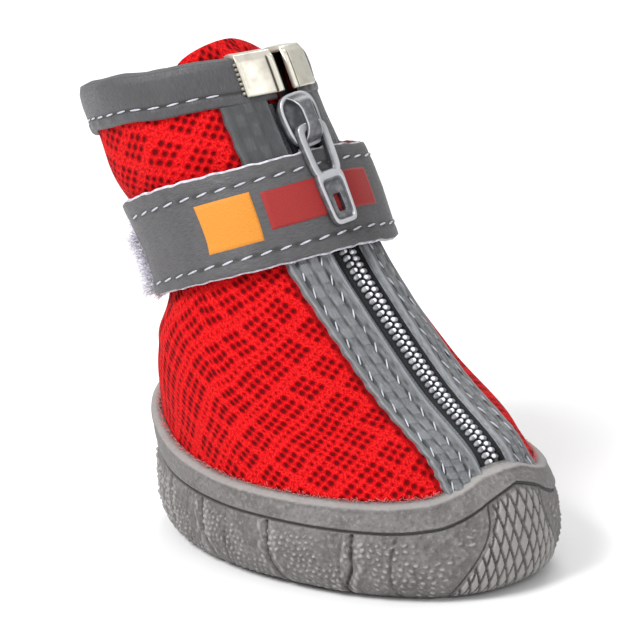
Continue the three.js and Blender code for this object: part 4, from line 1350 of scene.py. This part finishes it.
def sole_tread(finish):
    """The underside in rings from the middle out to the side's first row."""

    def place(s, t):
        u = between(-math.pi, math.pi, s)
        tread_inset = sole_at(u)[2]
        x, y = outline(u, tread_inset)
        share = 1 - t
        x = x * share
        y = y * share
        depth = tread_relief(x, y) * smoothstep(t, 0.0, 0.012)
        return np.stack([x, y, np.maximum(spring_height(x) + depth, 0)], axis=-1)

    # Painted shade in the tread's grooves and painted highlight on its knobs.
    def relief(s, t):
        points = place(s, t)
        return spring_height(points[:, 0]) - points[:, 2] + 0.1

    def flat(s, t):
        return place(s, t)[:, :2]

    mesh = sheet_mesh("sole_tread", 720, 124, place, flat, closed=True, relief=relief)
    return finish_piece(mesh, "sole_tread", finish, ["sole"])


def insole_piece(finish):
    """The board's cloth, turned up a little along its edge."""

    def place(s, t):
        u = between(-math.pi, math.pi, s)
        edge = upper_point(0, u, -UPPER_WALL - GAP)
        rim = 1 - t
        points = edge * rim[:, None]
        points[:, 2] = INSOLE_TOP + 0.5 * smoothstep(rim, 0.8, 1.0) - 0.6 * smoothstep(rim, 0.98, 1.0)
        return points

    def flat(s, t):
        return place(s, t)[:, :2]

    mesh = sheet_mesh("insole_cloth", 160, 40, place, flat, closed=True)
    return finish_piece(mesh, "insole_cloth", finish, ["insole"])


# ---- clips on the collar's ends ----
CLIP_WIDTH = 5.7
CLIP_DROP = 6.6  # how far it reaches down from the collar's edge
CLIP_TEETH = 7
# painted shade on the clip's teeth
TEETH_SHADE = -0.07  # relief that shades them darker than the plates


def clip_piece(side, finish):
    """A bent metal plate over the collar's end: a crowned face with a rolled edge, a fold, and a back leg."""
    outer = 2 * GAP + BINDING_THICK
    inner = -UPPER_WALL - 2 * GAP - BINDING_THICK
    profile = np.array(
        [
            [CLIP_DROP, outer],
            [CLIP_DROP, outer + CLIP_THICK],
            [CLIP_DROP - 0.3, outer + CLIP_THICK + 0.1],
            [3.0, outer + CLIP_THICK + 0.1],
            [0.4, outer + CLIP_THICK],
            [-0.5, outer + 0.1],
            [-0.75, -1.0],
            [-0.5, inner - 0.1],
            [0.4, inner - CLIP_THICK],
            [CLIP_DROP, inner - CLIP_THICK],
            [CLIP_DROP, inner],
            [0.2, inner],
            [0.2, outer],
            [CLIP_DROP, outer],
        ]
    )
    run = run_along(profile)
    run = run / run[-1]
    low_u = angle_across(1, side * CLIP_GAP / 2)
    high_u = angle_across(1, side * (CLIP_GAP / 2 + CLIP_WIDTH))

    def face(s, offset):
        roll = 0.3 * hill(s, 0.07, 0.06) - 0.2 * hill(s, 0.19, 0.04)
        roll = roll + 0.12 * hill(s, 0.6, 0.3) + 0.1 * hill(s, 0.95, 0.05)
        return roll * smoothstep(offset, outer + CLIP_THICK - 0.1, outer + CLIP_THICK + 0.05)

    def place(s, t):
        u = between(low_u, high_u, s)
        drop = np.interp(t, run, profile[:, 0])
        offset = np.interp(t, run, profile[:, 1])
        level = below(u, np.maximum(drop, 0))
        return upper_point(np.where(drop > 0, level, 1 - drop / 90), u, offset + face(s, offset))

    # The groove behind the rolled edge is kept for the metal's painted shade.
    def relief(s, t):
        offset = np.interp(t, run, profile[:, 1])
        return np.minimum(face(s, offset), 0)

    def flat(s, t):
        return np.stack([s * CLIP_WIDTH, t * 30], axis=-1)

    name = "clip_metal_left" if side > 0 else "clip_metal_right"
    mesh = sheet_mesh(name, 70, 150, place, flat, closed=True, relief=relief)
    close_up(mesh, holes=True)
    return finish_piece(mesh, name, finish, ["clip_left" if side > 0 else "clip_right"])


def clip_teeth(finish):
    """The crimped teeth along each clip's far edge, biting into the tape."""
    work = bmesh.new()
    for side in (1, -1):
        for i in range(CLIP_TEETH):
            drop = between(0.6, CLIP_DROP - 0.3, (i + 0.5) / CLIP_TEETH)
            u = angle_across(1, side * (CLIP_GAP / 2 + CLIP_WIDTH + 0.1))
            v = below(np.array([u]), np.array([drop]))[0]
            here = upper_point(v, u, GAP + BINDING_THICK + 0.35)
            left, up, out = upper_frame(v, u)
            axes = Matrix((left, up, out)).transposed().to_4x4()
            tooth = Matrix.Translation(here) @ axes @ Matrix.Diagonal((0.5, 0.32, 0.4, 1))
            shape = Matrix.Scale(MM, 4) @ tooth
            bmesh.ops.create_icosphere(work, subdivisions=2, radius=1, matrix=shape)
    mesh = mesh_from(work, "clip_teeth")
    keep_relief(mesh, np.full(len(mesh.vertices), TEETH_SHADE))
    return finish_piece(mesh, "clip_teeth", finish, ["clip_left", "clip_right"])


# ---- slider and pull ----
SLIDER_V = 0.886  # where it sits on the zip
SLIDER_WIDTH = 7.4
SLIDER_LENGTH = 9.2
SLIDER_BASE = 2 * GAP + FACING_THICK
SLIDER_PLATE = 1.1
BRIDGE_WIDTH = 2.7
BRIDGE_HIGH = 2.5  # of the bridge's middle line over the plate
PULL_LENGTH = 16.6
PULL_WIDTH = 6
PULL_THICK = 1.2
PIN_RADIUS = 0.6


def slider_axes():
    """The slider's place on the zip, with x across to the left, y up the zip and z outwards."""
    line = float(zip_line(SLIDER_V))
    at = upper_point(SLIDER_V, line)
    up = unit(upper_point(SLIDER_V + 0.03, zip_line(SLIDER_V + 0.03)) - at)
    left = unit(upper_point(SLIDER_V, line + 0.05) - upper_point(SLIDER_V, line - 0.05))
    out = unit(np.cross(left, up))
    left = np.cross(up, out)
    return Matrix.Translation(at) @ Matrix((left, up, out)).transposed().to_4x4()


def pull_axes():
    """The pull's hinge, with x along its pin, y back up from the pull's tip and z outwards."""
    joint = frame["record"]["behaviour"]["joints"][0]
    pin = np.array(joint["pos_m"]) / MM
    left = -np.array(joint["axis"])
    rest_v = 0.73  # where its tip lies on the strap
    rest = upper_point(rest_v, zip_line(rest_v), STRAP_LIFT + STRAP_THICK + GAP + PULL_THICK / 2 + 0.2)
    back = pin - rest
    back = unit(back - left * np.dot(back, left))
    out = unit(np.cross(left, back))
    return Matrix.Translation(pin) @ Matrix((left, back, out)).transposed().to_4x4()


def tapered_ring(angle, low, high, low_width, high_width, square):
    """x and y on an outline with rounded corners, from y = low to y = high."""
    power = 2 / square
    share = 0.5 + 0.5 * signed_power(np.sin(angle), power)
    half = between(low_width, high_width, share) / 2
    return half * signed_power(np.cos(angle), power), between(low, high, share)


def rimmed_plate(name, outer, inner, profile, axes, finish, node, body):
    """A plate between two outlines; the profile's rows are the share of the way in, height and relief, which
    the finish paints as shade in hollows and highlight on rims.
    """
    profile = np.array(profile, float)
    run = run_along(profile[:, :2] * (3, 1))
    run = run / run[-1]

    def place(s, t):
        angle = 2 * math.pi * s
        share, height = [np.interp(t, run, column) for column in profile.T[:2]]
        far_x, far_y = tapered_ring(angle, *outer)
        near_x, near_y = tapered_ring(angle, *inner)
        local = np.stack([between(far_x, near_x, share), between(far_y, near_y, share), height], axis=-1)
        turn = np.array(axes)
        return local @ turn[:3, :3].T + turn[:3, 3]

    def relief(s, t):
        return np.interp(t, run, profile[:, 2])

    def flat(s, t):
        return np.stack([s * 30, t * 12], axis=-1)

    mesh = sheet_mesh(name, 200, 70, place, flat, closed=True, relief=relief)
    return finish_piece(mesh, name, finish, [node], body)


def slider_plate(finish):
    """The slider's body with a raised rim round its top."""
    half = SLIDER_LENGTH / 2
    top = SLIDER_BASE + SLIDER_PLATE
    outer = (-half, half, SLIDER_WIDTH * 0.86, SLIDER_WIDTH, 3.0)
    inner = (-0.02, 0.02, 0.02, 0.02, 2.0)
    profile = [
        [1, 0.3, -0.3],
        [0.12, 0.3, -0.3],
        [0.04, SLIDER_BASE, -0.1],
        [0.0, SLIDER_BASE + 0.3, 0],
        [0.0, top - 0.2, 0.2],
        [0.03, top + 0.12, 0.5],
        [0.12, top + 0.15, 0.5],
        [0.17, top - 0.22, -0.15],
        [0.3, top - 0.25, 0.05],
        [1, top - 0.15, 0.05],
    ]
    return rimmed_plate("slider_plate", outer, inner, profile, slider_axes(), finish, "zip_slider", "boot")


def slider_bridge(finish):
    """The arched bar over the plate that holds the pull's pin."""
    axes = np.array(slider_axes())
    half_length = SLIDER_LENGTH / 2 - 0.6
    base = SLIDER_BASE + SLIDER_PLATE

    def place(s, t):
        y = between(-half_length, half_length, s)
        rise = (1 - np.abs(y / half_length) ** 4) * BRIDGE_HIGH
        angle = 2 * math.pi * t
        width = BRIDGE_WIDTH * between(1.25, 0.85, smoothstep(np.abs(y), half_length, 1.0))
        x = width / 2 * signed_power(np.cos(angle), 0.35)
        z = base + rise - 0.2 + 0.45 * signed_power(np.sin(angle), 0.5)
        return np.stack([x, y, z], axis=-1) @ axes[:3, :3].T + axes[:3, 3]

    # Painted highlight along the bridge's top edges and painted shade on its underside.
    def relief(s, t):
        edge = np.abs(signed_power(np.cos(2 * math.pi * t), 0.35))
        top = smoothstep(np.sin(2 * math.pi * t), 0.1, 0.4)
        return (0.4 * smoothstep(edge, 0.72, 0.92) * top - 0.15 * (1 - top)) * np.ones_like(s)

    def flat(s, t):
        return np.stack([s * 9, t * 7], axis=-1)

    mesh = sheet_mesh("slider_bridge", 90, 48, place, flat, closed=True, relief=relief)
    close_up(mesh, holes=True)
    return finish_piece(mesh, "slider_bridge", finish, ["zip_slider"])


def pull_pieces(finish):
    """Two arms from the pin, the long plate between raised rims with a slot near its tip, and the pin."""
    axes = pull_axes()
    half = PULL_THICK / 2
    arms = [
        [0, -half, -0.2],
        [0, half - 0.15, 0.2],
        [0.12, half + 0.05, 0.5],
        [0.8, half, 0.3],
        [1, half - 0.25, -0.1],
        [1, -half, -0.3],
        [0.5, -half, -0.3],
        [0, -half, -0.2],
    ]
    middle_width = between(PULL_WIDTH, 4.7, 8.2 / PULL_LENGTH)
    outer = (-8.6, PIN_RADIUS + 0.2, middle_width, PULL_WIDTH, 5.0)
    inner = (-7.7, -PIN_RADIUS - 0.1, middle_width - 2.7, PULL_WIDTH - 2.7, 5.0)
    rimmed_plate("pull_arms", outer, inner, arms, axes, finish, "zip_pull", "zip_pull")
    plate = [
        [0, -half, -0.2],
        [0, half - 0.15, 0.2],
        [0.1, half + 0.05, 0.5],
        [0.3, half + 0.05, 0.5],
        [0.42, half - 0.28, -0.12],
        [0.7, half - 0.28, 0.05],
        [0.95, half - 0.26, 0.1],
        [1, half - 0.4, -0.3],
        [1, -half, -0.4],
        [0.5, -half, -0.3],
        [0, -half, -0.2],
    ]
    outer = (-PULL_LENGTH, -7.5, 4.5, middle_width, 6.0)
    inner = (-PULL_LENGTH + 2.1, -PULL_LENGTH + 5.0, 1.35, 1.35, 8.0)
    rimmed_plate("pull_plate", outer, inner, plate, axes, finish, "zip_pull", "zip_pull")
    work = bmesh.new()
    turn = Matrix.Scale(MM, 4) @ axes @ Matrix.Rotation(math.pi / 2, 4, "Y")
    bmesh.ops.create_cone(
        work,
        cap_ends=True,
        segments=28,
        radius1=PIN_RADIUS,
        radius2=PIN_RADIUS,
        depth=PULL_WIDTH - 1,
        matrix=turn,
    )
    mesh = mesh_from(work, "pull_pin")
    pin = finish_piece(mesh, "pull_pin", finish, ["zip_pull"], "zip_pull")
    pin.data.set_sharp_from_angle(angle=math.radians(35))


# ---- stage ----
CAMERA_AROUND = math.radians(42)
CAMERA_UP = math.radians(17)
CAMERA_DISTANCE = 1.4
CAMERA_AIM = Vector((-2.74, 4.63, -6.16)) * MM  # from the middle of the boot's box
LENS = 484.2
FLOOR_SIZE = 6.0
SKY = 0.56


def plain_floor():
    made = Finish("pale floor", 0.55)
    work = bmesh.new()
    bmesh.ops.create_grid(work, x_segments=1, y_segments=1, size=FLOOR_SIZE / 2)
    mesh = mesh_from(work, "floor")
    mesh.materials.append(made.end(Base_Color=rgb(244, 244, 244)))
    floor = bpy.data.objects.new("floor", mesh)
    bpy.context.scene.collection.objects.link(floor)


# name, place and size in metres, and power in watts
LIGHTS = (
    ("key", (-0.15, -0.9, 0.95), (0.45, 0.45), 16.5),
    ("fill", (0.9, -0.3, 0.5), (0.8, 0.6), 3),
    ("rim", (-0.4, 0.7, 0.9), (0.6, 0.4), 5),
)
LIGHT_AIM = (0, 0, 0.04)


def soft_light(name, place, size, power):
    lamp = bpy.data.lights.new(name, "AREA")
    lamp.shape = "RECTANGLE"
    lamp.size = size[0]
    lamp.size_y = size[1]
    lamp.energy = power
    light = bpy.data.objects.new(name, lamp)
    light.location = place
    light.rotation_euler = (Vector(LIGHT_AIM) - Vector(place)).to_track_quat("-Z", "Y").to_euler()
    bpy.context.scene.collection.objects.link(light)


def studio():
    world = bpy.data.worlds.new("studio")
    world.use_nodes = True
    world.node_tree.nodes["Background"].inputs[0].default_value = (1, 1, 1, 1)
    world.node_tree.nodes["Background"].inputs[1].default_value = SKY
    bpy.context.scene.world = world
    for row in LIGHTS:
        soft_light(*row)
    bpy.context.scene.view_settings.view_transform = "Standard"


def main_camera(low, high):
    toward = Vector(
        (
            math.sin(CAMERA_AROUND) * math.cos(CAMERA_UP),
            -math.cos(CAMERA_AROUND) * math.cos(CAMERA_UP),
            math.sin(CAMERA_UP),
        )
    )
    lens = bpy.data.cameras.new("camera")
    lens.lens = LENS
    lens.sensor_width = 36
    lens.clip_start = 0.05
    camera = bpy.data.objects.new("camera", lens)
    aim = (low + high) / 2 + CAMERA_AIM
    camera.location = aim + toward * CAMERA_DISTANCE
    camera.rotation_euler = (-toward).to_track_quat("-Z", "Y").to_euler()
    bpy.context.scene.collection.objects.link(camera)
    bpy.context.scene.camera = camera


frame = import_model()
cad_low, cad_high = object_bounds()

mesh_finish = mesh_cloth()
facing_finish = tape_cloth("facing tape", rgb(84, 86, 89), rgb(119, 121, 124))
binding_finish = tape_cloth("collar tape", rgb(57, 56, 58), rgb(75, 75, 78), (0.7, 9.0))
strap_finish = tape_cloth("strap tape", rgb(64, 63, 65), rgb(83, 82, 84))
backing_finish = fleece("strap backing", rgb(176, 172, 184), rgb(226, 223, 232))
thread_finish = thread("pale thread", rgb(190, 191, 200))
rubber_finish = moulded_rubber()
clip_finish = clip_metal()
enamel_finish = slider_enamel()

upper_piece(mesh_finish)
tongue_piece(mesh_finish)
frayed_edge(woven_label("yarn ends", rgb(216, 150, 146), rgb(188, 60, 58)))
facing_piece(1, facing_finish)
facing_piece(-1, facing_finish)
facing_stitches(thread_finish)
zip_tape(dark_weave())
zip_coil(coil_plastic())
binding_piece(binding_finish)
binding_stitches(thread_finish)
strap_band("strap_tape", strap_finish, STRAP_LOW, STRAP_HIGH, 0.45, STRAP_THICK, STRAP_FROM, STRAP_TO)
backing_from = STRAP_FROM - 0.01
strap_band("strap_backing", backing_finish, STRAP_LOW, STRAP_HIGH, 0.0, 0.5, backing_from, STRAP_TO, 0.003)
strap_stitches(thread_finish)
amber_finish = woven_label("amber label", rgb(214, 138, 30), rgb(190, 116, 18))
strap_label("amber_label", amber_finish, -1.29, -0.81, 0.265, 0.77)
red_finish = woven_label("red label", rgb(150, 12, 9), rgb(128, 8, 6))
strap_label("red_label", red_finish, -0.733, 0.42, 0.343, 0.735)
loop_base(fleece("loop fleece", rgb(136, 134, 146), rgb(182, 180, 192)))
loop_fuzz(fleece("loop tips", rgb(206, 202, 214), rgb(240, 238, 246)))
sole_side(rubber_finish)
sole_tread(rubber_finish)
insole_piece(fleece("insole felt", rgb(40, 40, 43), rgb(66, 66, 70)))
clip_piece(1, clip_finish)
clip_piece(-1, clip_finish)
clip_teeth(clip_finish)
slider_plate(enamel_finish)
slider_bridge(enamel_finish)
pull_pieces(enamel_finish)

plain_floor()
studio()
main_camera(cad_low, cad_high)
